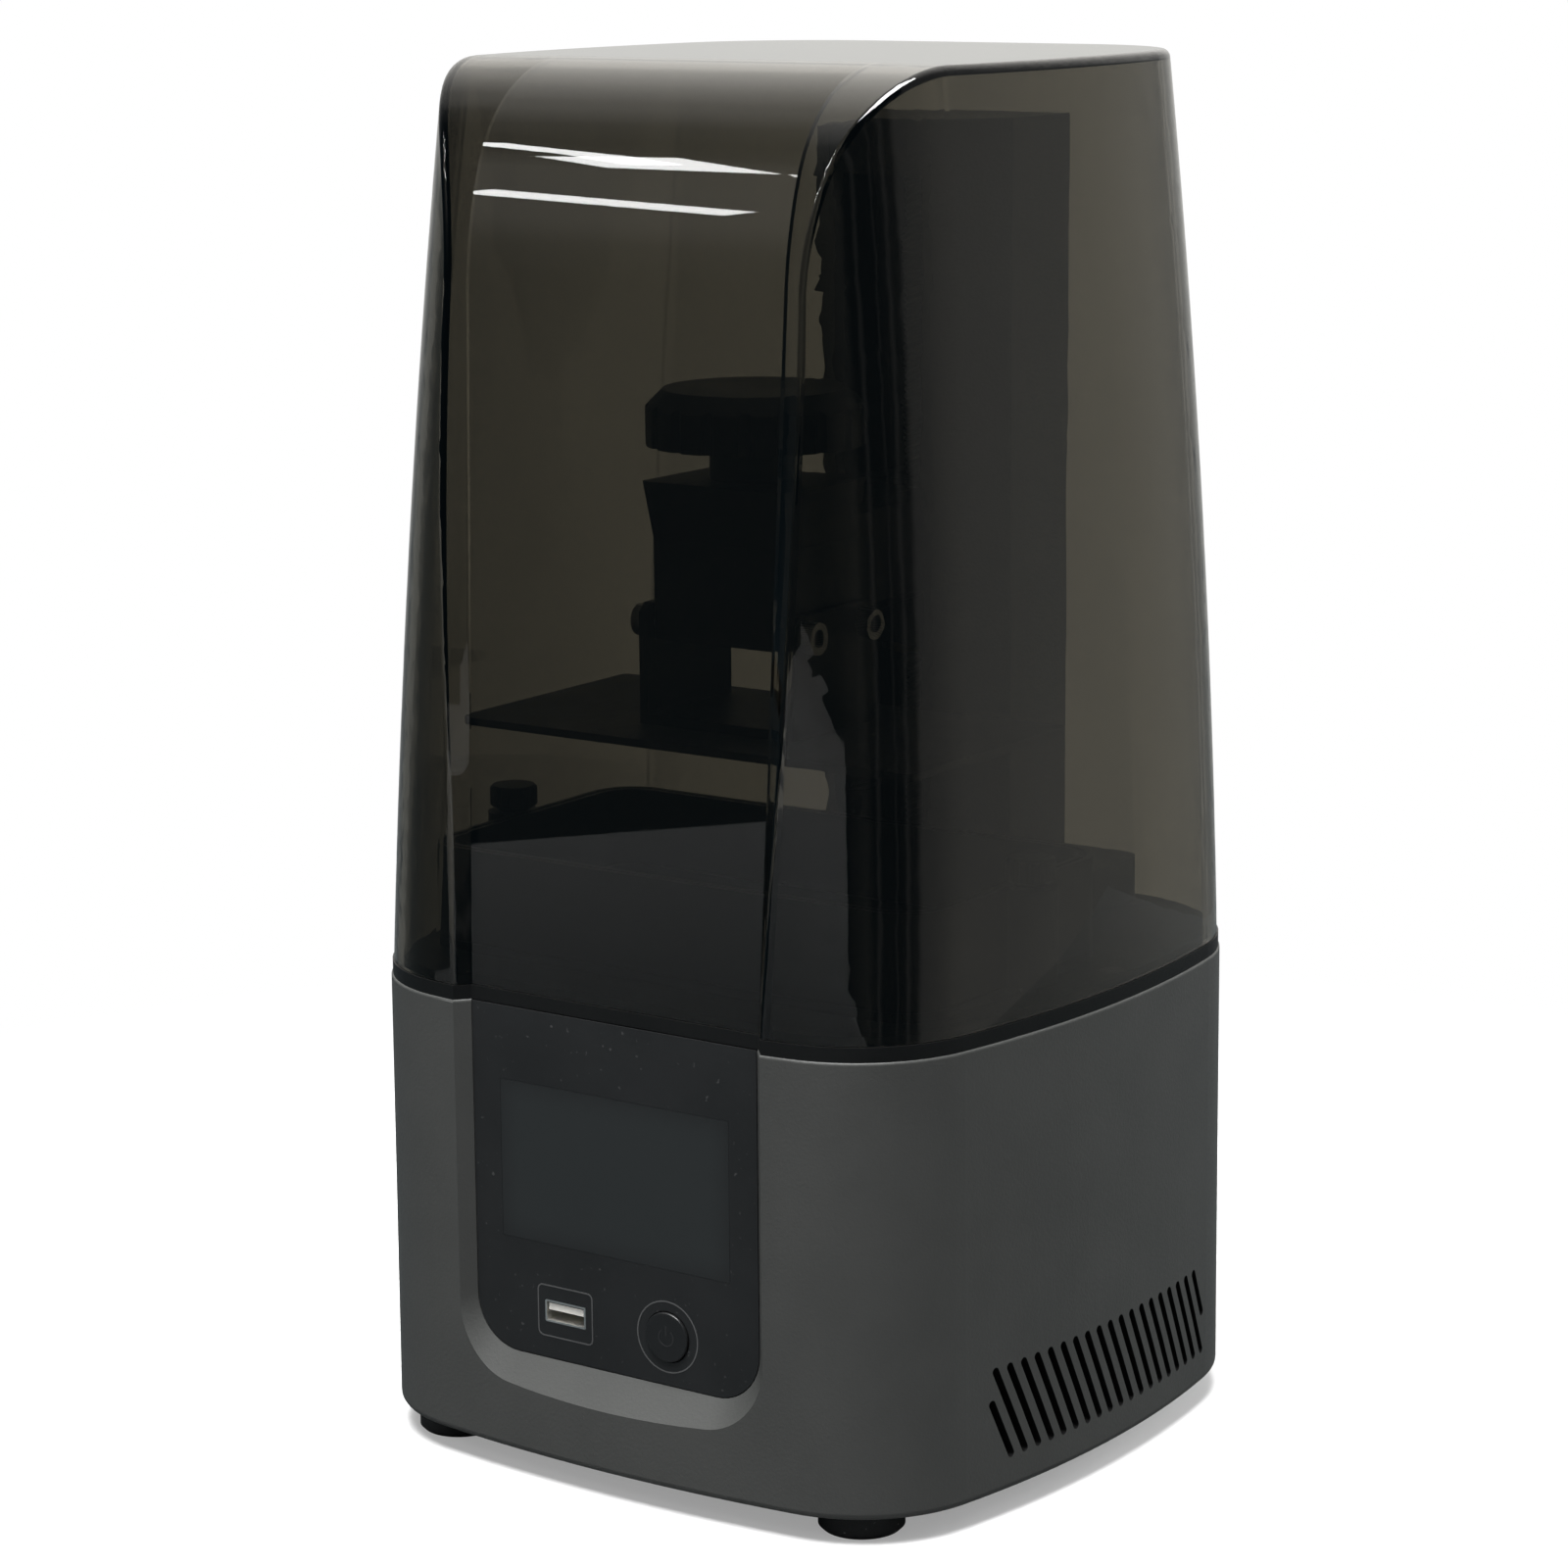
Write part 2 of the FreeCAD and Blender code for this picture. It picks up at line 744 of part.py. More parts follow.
def cover():
    outer = cover_form(0, cover_bottom_z)
    top_edges = [e for e in outer.Edges if e.BoundBox.ZMin > cover_top_z - near and e.BoundBox.YMax > 0]
    outer = outer.makeFillet(cover_edge_radius, top_edges)
    return outer.cut(cover_form(cover_wall, cover_bottom_z - through))


def front_panel():
    y1 = recess_y + panel_thickness
    panel = panel_slab(seat_gap, recess_y, y1, rim_z - seat_gap)
    screen = box(-screen_half_width, screen_half_width, recess_y - through, y1 + through,
                 bottom_z + screen_bottom, bottom_z + screen_top)
    gap = running_gap
    socket = box(usb_x - usb_width / 2 - gap, usb_x + usb_width / 2 + gap, recess_y - through, y1 + through,
                 usb_z - usb_height / 2 - gap, usb_z + usb_height / 2 + gap)
    hole = bar_along(BACK, button_radius + seat_gap, V(button_x, recess_y - through, button_z),
                     panel_thickness + 2 * through)
    return panel.cut([screen, socket, hole])


def touch_screen():
    gap = running_gap
    glass = box(-screen_half_width + gap, screen_half_width - gap, recess_y, recess_y + panel_thickness,
                bottom_z + screen_bottom + gap, bottom_z + screen_top - gap)
    back = box(-screen_half_width - screen_border, screen_half_width + screen_border,
               recess_y + panel_thickness, recess_y + panel_thickness + screen_thickness,
               bottom_z + screen_bottom - screen_border, bottom_z + screen_top + screen_border)
    return glass.fuse(back).removeSplitter()


def usb_socket():
    outer = rounded_rect_along_y(usb_x, usb_z, usb_width, usb_height, usb_wall, recess_y, usb_length)
    inner = box(usb_x - usb_width / 2 + usb_wall, usb_x + usb_width / 2 - usb_wall,
                recess_y - through, recess_y + usb_length - usb_wall,
                usb_z - usb_height / 2 + usb_wall, usb_z + usb_height / 2 - usb_wall)
    return outer.cut(inner)


def rounded_rect_along_y(x, z, width, height, radius, y0, length):
    """A bar along Y with a rounded rectangular section."""
    bar = box(x - width / 2, x + width / 2, y0, y0 + length, z - height / 2, z + height / 2)
    return bar.makeFillet(radius, edges_along(bar, BACK))


def usb_tongue():
    x = usb_width / 2 - 2 * usb_wall
    top = usb_z + usb_height / 2 - 2 * usb_wall
    return box(usb_x - x, usb_x + x, recess_y + usb_wall, recess_y + usb_length - usb_wall,
               top - usb_tongue_height, top)


def power_button():
    y0 = recess_y - button_proud
    cap = bar_along(BACK, button_radius, V(button_x, y0, button_z), button_length + button_proud)
    front_edge = [e for e in cap.Edges if e.BoundBox.YMax < y0 + near]
    return cap.makeFillet(button_proud / 2, front_edge)


def button_board():
    y = recess_y + button_length + button_travel + seat_gap
    half = button_board_half
    switch = bar_along(BACK, button_radius / 2, V(button_x, y, button_z), button_board_thickness)
    board_y = y + button_board_thickness
    board = box(button_x - half, button_x + half, board_y, board_y + button_board_thickness,
                button_z - half, button_z + half)
    posts = []
    panel_back = recess_y + panel_thickness
    for side in (-1, 1):
        spot = V(button_x + side * (half - post_radius / 2), panel_back, button_z)
        posts.append(bar_along(BACK, post_radius / 2, spot, board_y - panel_back))
    return board.fuse([switch] + posts).removeSplitter()


def mask_half_width():
    """Half width of the light mask, just inside the film frame."""
    return vat_half_width - frame_width - seat_gap


def mask_half_depth():
    """Half depth of the light mask, just inside the film frame."""
    return vat_half_depth - frame_width - seat_gap


def mask_screen():
    x = mask_half_width()
    y = mask_half_depth()
    corner = vat_corner - frame_width
    return rounded_block(-x, x, head_y - y, head_y + y, deck_top_z, mask_top_z, corner)


def vat_ring(inset, z0, z1):
    """A block with the vat's rounded outline, drawn in by an inset."""
    x = vat_half_width - inset
    y = vat_half_depth - inset
    return rounded_block(-x, x, head_y - y, head_y + y, z0, z1, vat_corner - inset)


def film_screw_spots():
    """Places of the small screws round the film frame."""
    spots = []
    x_edge = vat_half_width - frame_width / 2
    y_edge = vat_half_depth - frame_width / 2
    for side in (-1, 1):
        for k in range(film_screws_long):
            share = 2 * k / (film_screws_long - 1) - 1
            spots.append(V(share * (vat_half_width - vat_corner), head_y + side * y_edge, 0))
        for k in range(film_screws_short):
            share = 2 * k / (film_screws_short - 1) - 1
            spots.append(V(side * x_edge, head_y + share * (vat_half_depth - vat_corner) / 2, 0))
    return spots


def film_screw_tools(z0, z1):
    """Holes for the film screws."""
    return [rod(film_screw_radius, p.x, p.y, z0, z1) for p in film_screw_spots()]


def film_frame():
    ring = vat_ring(0, deck_top_z, film_bottom_z)
    ring = ring.cut(vat_ring(frame_width, deck_top_z - through, film_bottom_z + through))
    return ring.cut(film_screw_tools(deck_top_z - through, film_bottom_z + through))


def film_screws():
    top = deck_top_z + film_screw_length
    return Part.makeCompound([rod(film_screw_radius, p.x, p.y, deck_top_z, top) for p in film_screw_spots()])


def vat_film():
    sheet = vat_ring(film_screw_radius / 2, film_bottom_z, vat_bottom_z)
    return sheet.cut(film_screw_tools(film_bottom_z - through, vat_bottom_z + through))


def vat():
    body = vat_ring(0, vat_bottom_z, vat_top_z)
    ears = [rod(ear_radius, p.x, p.y, vat_bottom_z, vat_top_z) for p in ear_spots()]
    body = body.fuse(ears).removeSplitter()
    hollow = vat_ring(vat_wall, vat_bottom_z - through, vat_top_z + through)
    sill = vat_ring(frame_width, vat_bottom_z, vat_bottom_z + vat_wall)
    foot = vat_ring(vat_wall, vat_bottom_z, vat_bottom_z + vat_wall).cut(sill)
    body = body.cut(hollow).fuse(foot).removeSplitter()
    lip = vat_ring(vat_lip, vat_top_z - vat_lip, vat_top_z + through)
    body = body.cut(lip.cut(vat_ring(vat_wall - vat_lip, vat_top_z - 2 * vat_lip, vat_top_z + 2 * through)))
    bores = [rod(thumb_shaft_radius + running_gap, p.x, p.y, vat_bottom_z - through, vat_top_z + through)
             for p in ear_spots()]
    screw_tools = film_screw_tools(vat_bottom_z - through, deck_top_z + film_screw_length)
    return body.cut(bores + screw_tools)


def fluted(cylinder, radius, x, y, count, flute_radius, z0, z1):
    """A round grip with flutes cut into its rim."""
    flutes = []
    for k in range(count):
        turn = 2 * math.pi * k / count
        reach = radius + flute_radius / 2
        flutes.append(rod(flute_radius, x + reach * math.cos(turn), y + reach * math.sin(turn), z0, z1))
    return cylinder.cut(flutes)


def thumb_screw(spot):
    neck_z = vat_top_z + seat_gap
    grip_z = neck_z + thumb_neck_height
    grip = rod(thumb_radius, spot.x, spot.y, grip_z, grip_z + thumb_height)
    rims = [e for e in grip.Edges if e.Closed]
    grip = grip.makeChamfer(thumb_chamfer, rims)
    grip = fluted(grip, thumb_radius, spot.x, spot.y, thumb_flutes, thumb_flute_radius,
                  grip_z - through, grip_z + thumb_height + through)
    neck = rod(thumb_neck_radius, spot.x, spot.y, neck_z, grip_z)
    shaft = rod(thumb_shaft_radius, spot.x, spot.y, rim_z + seat_gap, neck_z)
    return grip.fuse([neck, shaft]).removeSplitter()


def light_hood():
    x = hood_half_width
    y = hood_half_depth
    top = rim_z
    outer = box(-x, x, head_y - y, head_y + y, hood_bottom_z, top)
    flange = box(-x - hood_flange, x + hood_flange, head_y - y - hood_flange, head_y + y + hood_flange,
                 top - hood_wall, top)
    inner = box(-x + hood_wall, x - hood_wall, head_y - y + hood_wall, head_y + y - hood_wall,
                hood_bottom_z - through, top + through)
    ledge_z = hood_bottom_z + lens_lift - hood_wall
    ledge = box(-x, x, head_y - y, head_y + y, ledge_z, ledge_z + hood_wall)
    inset = hood_wall + hood_ledge
    sill = box(-x + inset, x - inset, head_y - y + inset, head_y + y - inset,
               ledge_z - through, ledge_z + through + hood_wall)
    return outer.fuse(flange).cut(inner).fuse(ledge.cut(sill)).removeSplitter()


def emitter_spots():
    """Grid of the light emitters and of the lenses over them."""
    inset = hood_wall + hood_ledge
    pitch_x = 2 * (hood_half_width - inset) / emitter_columns
    pitch_y = 2 * (hood_half_depth - inset) / emitter_rows
    spots = []
    for i in range(emitter_columns):
        for j in range(emitter_rows):
            spots.append(V((i - (emitter_columns - 1) / 2) * pitch_x,
                           head_y + (j - (emitter_rows - 1) / 2) * pitch_y, 0))
    return spots


def lens_plate():
    x = hood_half_width - hood_wall - seat_gap
    y = hood_half_depth - hood_wall - seat_gap
    z = hood_bottom_z + lens_lift
    plate = box(-x, x, head_y - y, head_y + y, z, z + lens_thickness)
    domes = []
    for p in emitter_spots():
        ball = Part.makeSphere(lens_dome_radius, V(p.x, p.y, z + lens_thickness - lens_dome_radius / 2))
        domes.append(ball.common(rod(lens_dome_radius, p.x, p.y, z + lens_thickness / 2, z + reach_out)))
    return plate.fuse(domes).removeSplitter()


def light_board():
    x = hood_half_width
    y = hood_half_depth
    return box(-x, x, head_y - y, head_y + y, hood_bottom_z - light_board_thickness, hood_bottom_z)


def light_emitters():
    return Part.makeCompound([rod(emitter_radius, p.x, p.y, hood_bottom_z, hood_bottom_z + emitter_height)
                              for p in emitter_spots()])


def heat_sink():
    x = hood_half_width
    y = hood_half_depth
    top = hood_bottom_z - light_board_thickness
    base = box(-x, x, head_y - y, head_y + y, top - sink_base, top)
    fins = []
    pitch = (2 * y - sink_fin_thickness) / (sink_fin_count - 1)
    for k in range(sink_fin_count):
        fin_y = head_y - y + k * pitch
        fins.append(box(-x, x, fin_y, fin_y + sink_fin_thickness, top - sink_base - sink_fin_height,
                        top - sink_base))
    return base.fuse(fins).removeSplitter()


def board_corners():
    """Places of the mainboard's posts."""
    x = board_length / 2 - post_inset
    y = board_width / 2 - post_inset
    return [V(board_x + sx * x, board_y + sy * y, 0) for sx in (-1, 1) for sy in (-1, 1)]


def board_posts():
    z0 = bottom_z + base_plate_thickness
    return Part.makeCompound([rod(post_radius, p.x, p.y, z0, z0 + board_lift) for p in board_corners()])


def mainboard():
    z0 = bottom_z + base_plate_thickness + board_lift
    z1 = z0 + board_thickness
    board = box(board_x - board_length / 2, board_x + board_length / 2, board_y - board_width / 2,
                board_y + board_width / 2, z0, z1)
    chip_sizes = ((processor_side, processor_side, processor_height),
                  (driver_length, driver_width, driver_height),
                  (plug_row_length, plug_row_width, plug_row_height))
    chips = []
    step = board_length / (len(chip_sizes) + 1)
    x = board_x - board_length / 2
    for length, width, height in chip_sizes:
        x += step
        chips.append(box(x - length / 2, x + length / 2, board_y - width / 2, board_y + width / 2,
                         z1, z1 + height))
    return board.fuse(chips).removeSplitter()


def fan_base():
    """Inner face of the fan's frame and the height of its axis."""
    x1 = housing_half_width - housing_wall - fan_inset
    z = bottom_z + base_plate_thickness + floor_ring_thickness + fan_half
    return x1 - fan_depth, z


def fan_frame():
    x0, z = fan_base()
    frame = box(x0, x0 + fan_depth, fan_y - fan_half, fan_y + fan_half, z - fan_half, z + fan_half)
    frame = frame.cut(bar_along(RIGHT, fan_bore_radius, V(x0 - through, fan_y, z), fan_depth + 2 * through))
    seat = bar_along(RIGHT, fan_hub_radius, V(x0, fan_y, z), fan_strut)
    across = box(x0, x0 + fan_strut, fan_y - fan_half, fan_y + fan_half, z - fan_strut / 2, z + fan_strut / 2)
    upright = box(x0, x0 + fan_strut, fan_y - fan_strut / 2, fan_y + fan_strut / 2,
                  z - fan_half, z + fan_half)
    frame = frame.fuse([seat, across, upright]).removeSplitter()
    return frame.cut(bar_along(RIGHT, fan_shaft_radius + running_gap, V(x0 - through, fan_y, z),
                               fan_strut + 2 * through))


def fan_rotor():
    x0, z = fan_base()
    hub_x = x0 + fan_strut + seat_gap
    hub_length = fan_depth - fan_strut - 2 * seat_gap
    hub = bar_along(RIGHT, fan_hub_radius, V(hub_x, fan_y, z), hub_length)
    shaft = bar_along(RIGHT, fan_shaft_radius, V(x0, fan_y, z), hub_x - x0)
    blades = []
    span = fan_bore_radius - fan_tip_gap
    half = hub_length / 2 - seat_gap
    for k in range(fan_blades):
        blade = box(-half, half, -fan_blade_thickness / 2, fan_blade_thickness / 2, fan_hub_radius / 2, span)
        blade.rotate(V(0, 0, 0), UP, fan_blade_pitch)
        blade.rotate(V(0, 0, 0), RIGHT, 360.0 * k / fan_blades)
        blade.translate(V(hub_x + hub_length / 2, fan_y, z))
        blades.append(blade)
    limit = bar_along(RIGHT, span, V(hub_x, fan_y, z), hub_length)
    return hub.fuse([shaft] + [b.common(limit) for b in blades]).removeSplitter()


def power_inlet():
    face_y = housing_half_depth - housing_wall / 2
    flange_reach = inlet_x + inlet_width / 2 + inlet_flange
    wall_y = housing_half_depth - housing_wall - flange_reach ** 2 / (2 * back_bow_radius)
    body = box(inlet_x - inlet_width / 2, inlet_x + inlet_width / 2, face_y - inlet_depth, face_y,
               inlet_z - inlet_height / 2, inlet_z + inlet_height / 2)
    flange = box(inlet_x - inlet_width / 2 - inlet_flange, flange_reach,
                 wall_y - inlet_flange - seat_gap, wall_y - seat_gap,
                 inlet_z - inlet_height / 2 - inlet_flange, inlet_z + inlet_height / 2 + inlet_flange)
    jack_end = V(inlet_x, face_y - inlet_hole_depth, inlet_z)
    jack = bar_along(BACK, inlet_hole_radius, jack_end, inlet_hole_depth + through)
    pin = bar_along(BACK, inlet_pin_radius, jack_end, inlet_pin_length)
    return body.fuse(flange).cut(jack).fuse(pin).removeSplitter()


def tower_plinth():
    block = rounded_block(-plinth_half_width, plinth_half_width, plinth_front_y, plinth_back_y, deck_top_z,
                          deck_top_z + plinth_height, plinth_corner)
    hollow = rounded_block(-plinth_half_width + plinth_wall, plinth_half_width - plinth_wall,
                           plinth_front_y + plinth_wall, plinth_back_y - plinth_wall, deck_top_z - through,
                           deck_top_z + plinth_height - plinth_wall, plinth_corner / 2)
    passage = tower_prism(-seat_gap, deck_top_z - through, deck_top_z + plinth_height + through)
    return block.cut([hollow, passage])


def tower_prism(inset, z0, z1):
    """An upright bar with the column's outline, its front corners cut off, drawn in by an inset."""
    x = tower_half_width - inset
    front = tower_front_y + inset
    back = tower_back_y - inset
    cut = tower_chamfer - inset * (2 - math.sqrt(2))
    right = [V(x - cut, front, z0), V(x, front + cut, z0), V(x, back, z0)]
    left = [V(-p.x, p.y, z0) for p in reversed(right)]
    points = right + left
    return Part.Face(Part.makePolygon(points + points[:1])).extrude(V(0, 0, z1 - z0))


def tower_column():
    top = tower_top_z - tower_cap_thickness
    outer = tower_prism(0, deck_top_z, top)
    inner = tower_prism(tower_wall, deck_top_z - through, top + through)
    slot = box(-tower_slot_half, tower_slot_half, tower_front_y - through,
               tower_front_y + tower_wall + through,
               deck_top_z + plinth_height + through, top - plinth_height)
    return outer.cut([inner, slot])


def bearing_z():
    """Lower face of the bearing at the top of the lead screw."""
    return tower_top_z - tower_cap_thickness - bearing_length


def tower_cap():
    plate_z = tower_top_z - tower_cap_thickness
    cap = tower_prism(0, plate_z, tower_top_z)
    boss = rod(bearing_radius + bearing_boss_wall, 0, screw_y, bearing_z(), plate_z)
    seat = rod(bearing_radius, 0, screw_y, bearing_z() - through, plate_z)
    return cap.fuse(boss).cut(seat).removeSplitter()


def top_bearing():
    top = bearing_z() + bearing_length
    ring = rod(bearing_radius, 0, screw_y, bearing_z(), top)
    return ring.cut(rod(screw_radius + running_gap, 0, screw_y, bearing_z() - through, top + through))


def coupling_z():
    """Lower face of the coupling between motor and lead screw."""
    return motor_top_z + motor_boss_height + coupling_gap


def lead_screw():
    bottom = coupling_z() + coupling_length / 2
    return rod(screw_radius, 0, screw_y, bottom, tower_top_z - tower_cap_thickness - screw_top_gap)


def shaft_coupling():
    z = coupling_z()
    middle = z + coupling_length / 2
    body = rod(coupling_radius, 0, screw_y, z, z + coupling_length)
    low = rod(motor_shaft_radius, 0, screw_y, z - through, middle)
    high = rod(screw_radius, 0, screw_y, middle, z + coupling_length + through)
    return body.cut([low, high])


def motor_shaft():
    top = coupling_z() + coupling_length / 2
    return rod(motor_shaft_radius, 0, screw_y, motor_top_z - motor_shaft_length, top)


def z_motor():
    z0 = motor_top_z - motor_height
    body = box(-motor_half, motor_half, screw_y - motor_half, screw_y + motor_half, z0, motor_top_z)
    body = body.makeChamfer(motor_corner, edges_along(body, UP))
    boss = rod(motor_boss_radius, 0, screw_y, motor_top_z, motor_top_z + motor_boss_height)
    bore = rod(motor_shaft_radius + running_gap, 0, screw_y, motor_top_z - motor_shaft_length - seat_gap,
               motor_top_z + motor_boss_height + through)
    return body.fuse(boss).cut(bore).removeSplitter()


def motor_bracket():
    half = motor_half + bracket_plate_thickness
    z0 = motor_top_z
    shelf = box(-half, half, screw_y - motor_half, screw_y + motor_half, z0, z0 + bracket_plate_thickness)
    sides = []
    for side in (-1, 1):
        x = side * (half - bracket_plate_thickness / 2)
        sides.append(box(x - bracket_plate_thickness / 2, x + bracket_plate_thickness / 2,
                         screw_y - motor_half, screw_y + motor_half, z0, rim_z))
    hole = rod(motor_boss_radius + running_gap, 0, screw_y, z0 - through,
               z0 + bracket_plate_thickness + through)
    return shelf.fuse(sides).cut(hole).removeSplitter()


def rail_face_y():
    """Inner face of the column's back wall, which carries the rail."""
    return tower_back_y - tower_wall


def carriage_front_y():
    """Front face of the rail carriage, which carries the arm."""
    return rail_face_y() - rail_height + carriage_grip - carriage_height


def linear_rail():
    y = rail_face_y()
    top = tower_top_z - tower_cap_thickness - rail_end_gap
    return box(-rail_half_width, rail_half_width, y - rail_height, y, deck_top_z + plinth_height, top)


def carriage_bottom_z():
    """Lower end of the rail carriage at the photographed height."""
    return arm_block_bottom + (arm_block_height - carriage_length) / 2


def rail_carriage():
    y0 = carriage_front_y()
    z0 = carriage_bottom_z()
    body = box(-carriage_half_width, carriage_half_width, y0, y0 + carriage_height, z0, z0 + carriage_length)
    groove = box(-rail_half_width - sliding_gap, rail_half_width + sliding_gap,
                 rail_face_y() - rail_height - sliding_gap, rail_face_y() + through,
                 z0 - through, z0 + carriage_length + through)
    return body.cut(groove)


def arm():
    block_top = arm_block_bottom + arm_block_height
    block = box(-arm_half_width, arm_half_width, arm_block_front_y, carriage_front_y(),
                arm_block_bottom, block_top)
    beam = box(-arm_half_width, arm_half_width, head_y + block_half_depth, arm_block_front_y,
               arm_beam_bottom, arm_beam_bottom + arm_beam_height)
    bore = rod(nut_radius, 0, screw_y, arm_block_bottom - through, block_top + through)
    body = block.fuse(beam).removeSplitter().cut(bore)
    flanks = [e for e in edges_along(body, BACK) if e.BoundBox.YMin < arm_block_front_y - near]
    return body.makeChamfer(arm_chamfer, flanks)


def screw_nut():
    z0 = arm_block_bottom - nut_flange_thickness
    flange = rod(nut_flange_radius, 0, screw_y, z0, arm_block_bottom)
    body = rod(nut_radius, 0, screw_y, arm_block_bottom, z0 + nut_length)
    bore = rod(screw_radius + running_gap, 0, screw_y, z0 - through, z0 + nut_length + through)
    return flange.fuse(body).cut(bore).removeSplitter()


def level_spots():
    """Places of the four level screws: side, Y and Z."""
    z = plate_top_z + bracket_height - level_screw_drop
    return [(side, head_y + k * level_screw_pitch / 2, z) for side in (-1, 1) for k in (-1, 1)]


def head_rect(z, extra):
    """Outline of the head block at a height."""
    x = block_half_width + extra
    y = block_half_depth + extra
    points = [V(-x, head_y - y, z), V(x, head_y - y, z), V(x, head_y + y, z), V(-x, head_y + y, z)]
    return Part.makePolygon(points + points[:1])


def head_block():
    waist_z = block_top_z - block_flare_height
    lower = box(-block_half_width, block_half_width, head_y - block_half_depth, head_y + block_half_depth,
                block_bottom_z, waist_z)
    collar = Part.makeLoft([head_rect(waist_z, 0), head_rect(block_top_z, block_flare)], True, True)
    back = box(-reach_out, reach_out, head_y + block_half_depth, reach_out,
               waist_z - through, block_top_z + through)
    body = lower.fuse(collar.cut(back)).removeSplitter()
    stud_end = knob_bottom_z - hub_height - stud_length - seat_gap
    tools = [rod(stud_radius + running_gap, 0, head_y, stud_end, block_top_z + through)]
    for side, y, z in level_spots():
        start = V(side * (block_half_width + through), y, z)
        tools.append(bar_along(RIGHT * -side, level_screw_radius + running_gap, start,
                               level_hole_depth + through))
    return body.makeChamfer(block_chamfer, edges_along(body, UP)).cut(tools)


def clamp_knob():
    top = knob_bottom_z + knob_height
    grip = rod(knob_radius, 0, head_y, knob_bottom_z, top)
    rim = [e for e in grip.Edges if e.Closed and e.BoundBox.ZMin > top - near]
    grip = grip.makeChamfer(knob_chamfer, rim)
    grip = fluted(grip, knob_radius, 0, head_y, knob_flutes, knob_flute_radius,
                  knob_bottom_z - through, top + through)
    hub_z = knob_bottom_z - hub_height
    hub = rod(hub_radius, 0, head_y, hub_z, knob_bottom_z)
    stud = rod(stud_radius, 0, head_y, hub_z - stud_length, hub_z)
    return grip.fuse([hub, stud]).removeSplitter()


def plate_bracket():
    z0 = plate_top_z
    y0 = head_y - bracket_half_length
    y1 = head_y + bracket_half_length
    outer = box(-bracket_half_width, bracket_half_width, y0, y1, z0, z0 + bracket_height)
    inside = bracket_half_width - bracket_wall
    channel = box(-inside, inside, y0 - through, y1 + through,
                  z0 + bracket_wall, z0 + bracket_height + through)
    body = outer.cut(channel)
    tops = [e for e in edges_along(body, RIGHT) if e.BoundBox.ZMin > z0 + bracket_height - near]
    body = body.makeChamfer(bracket_wall, tops)
    holes = [bar_along(RIGHT * -side, level_screw_radius + running_gap,
                       V(side * (bracket_half_width + through), y, z), bracket_wall + 2 * through)
             for side, y, z in level_spots()]
    return body.cut(holes)


def level_screws():
    screws = []
    for side, y, z in level_spots():
        outward = RIGHT * side
        face = V(side * bracket_half_width, y, z)
        head = bar_along(outward, level_head_radius, face, level_head_length)
        socket = bar_along(outward, level_screw_radius, face + outward * (level_head_length / 2),
                           level_head_length)
        inner_x = block_half_width - level_screw_grip
        shank = bar_along(-outward, level_screw_radius, face, bracket_half_width - inner_x)
        screws.append(head.cut(socket).fuse(shank).removeSplitter())
    return Part.makeCompound(screws)


def build_plate():
    return rounded_block(-plate_half_width, plate_half_width, head_y - plate_half_depth,
                         head_y + plate_half_depth, plate_rest_z, plate_top_z, plate_corner)


def limit_switch():
    x0 = -tower_half_width + tower_wall
    y0 = tower_front_y + tower_chamfer + 2 * tower_wall
    z0 = deck_top_z + plinth_height
    body = box(x0, x0 + limit_width, y0, y0 + limit_depth, z0, z0 + limit_height)
    gate = box(x0 + limit_width / 3, x0 + limit_width * 2 / 3, y0 - through, y0 + limit_depth + through,
               z0 + limit_height / 2, z0 + limit_height + through)
    return body.cut(gate)


nodes = {
    "base_shell": base_shell, "base_plate": base_plate, "base_screws": base_screws, "foot_pads": foot_pads,
    "cover_seal": cover_seal, "top_deck": top_deck, "deck_screws": deck_screws, "cover": cover,
    "front_panel": front_panel, "touch_screen": touch_screen, "usb_socket": usb_socket,
    "usb_tongue": usb_tongue, "power_button": power_button, "button_board": button_board,
    "mask_screen": mask_screen, "film_frame": film_frame, "film_screws": film_screws, "vat_film": vat_film,
    "vat": vat, "light_hood": light_hood, "lens_plate": lens_plate, "light_board": light_board,
    "light_emitters": light_emitters, "heat_sink": heat_sink, "board_posts": board_posts,
    "mainboard": mainboard, "fan_frame": fan_frame, "fan_rotor": fan_rotor, "power_inlet": power_inlet,
    "tower_plinth": tower_plinth, "tower_column": tower_column, "tower_cap": tower_cap,
    "top_bearing": top_bearing, "lead_screw": lead_screw, "shaft_coupling": shaft_coupling,
    "motor_shaft": motor_shaft, "z_motor": z_motor, "motor_bracket": motor_bracket,
    "linear_rail": linear_rail, "rail_carriage": rail_carriage, "arm": arm, "screw_nut": screw_nut,
    "head_block": head_block, "clamp_knob": clamp_knob, "plate_bracket": plate_bracket,
    "level_screws": level_screws, "build_plate": build_plate, "limit_switch": limit_switch,
}

os.makedirs("parts", exist_ok=True)
shapes = {name: make() for name, make in nodes.items()}
for name, spot in zip(("left_thumb_screw", "right_thumb_screw"), ear_spots()):
    shapes[name] = thumb_screw(spot)
for name, shape in shapes.items():
    shape.exportStep("parts/" + name + ".step")
    print(name, len(shape.Solids), shape.isValid(), shape.BoundBox)
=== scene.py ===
"""Looks of a desktop resin printer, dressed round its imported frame."""
import logging
import math
from dataclasses import dataclass, field
from enum import Enum
from typing import Callable, ClassVar, Dict, List, Optional, Sequence, Tuple, Union

import bmesh
import bpy
from mathutils import Matrix, Vector


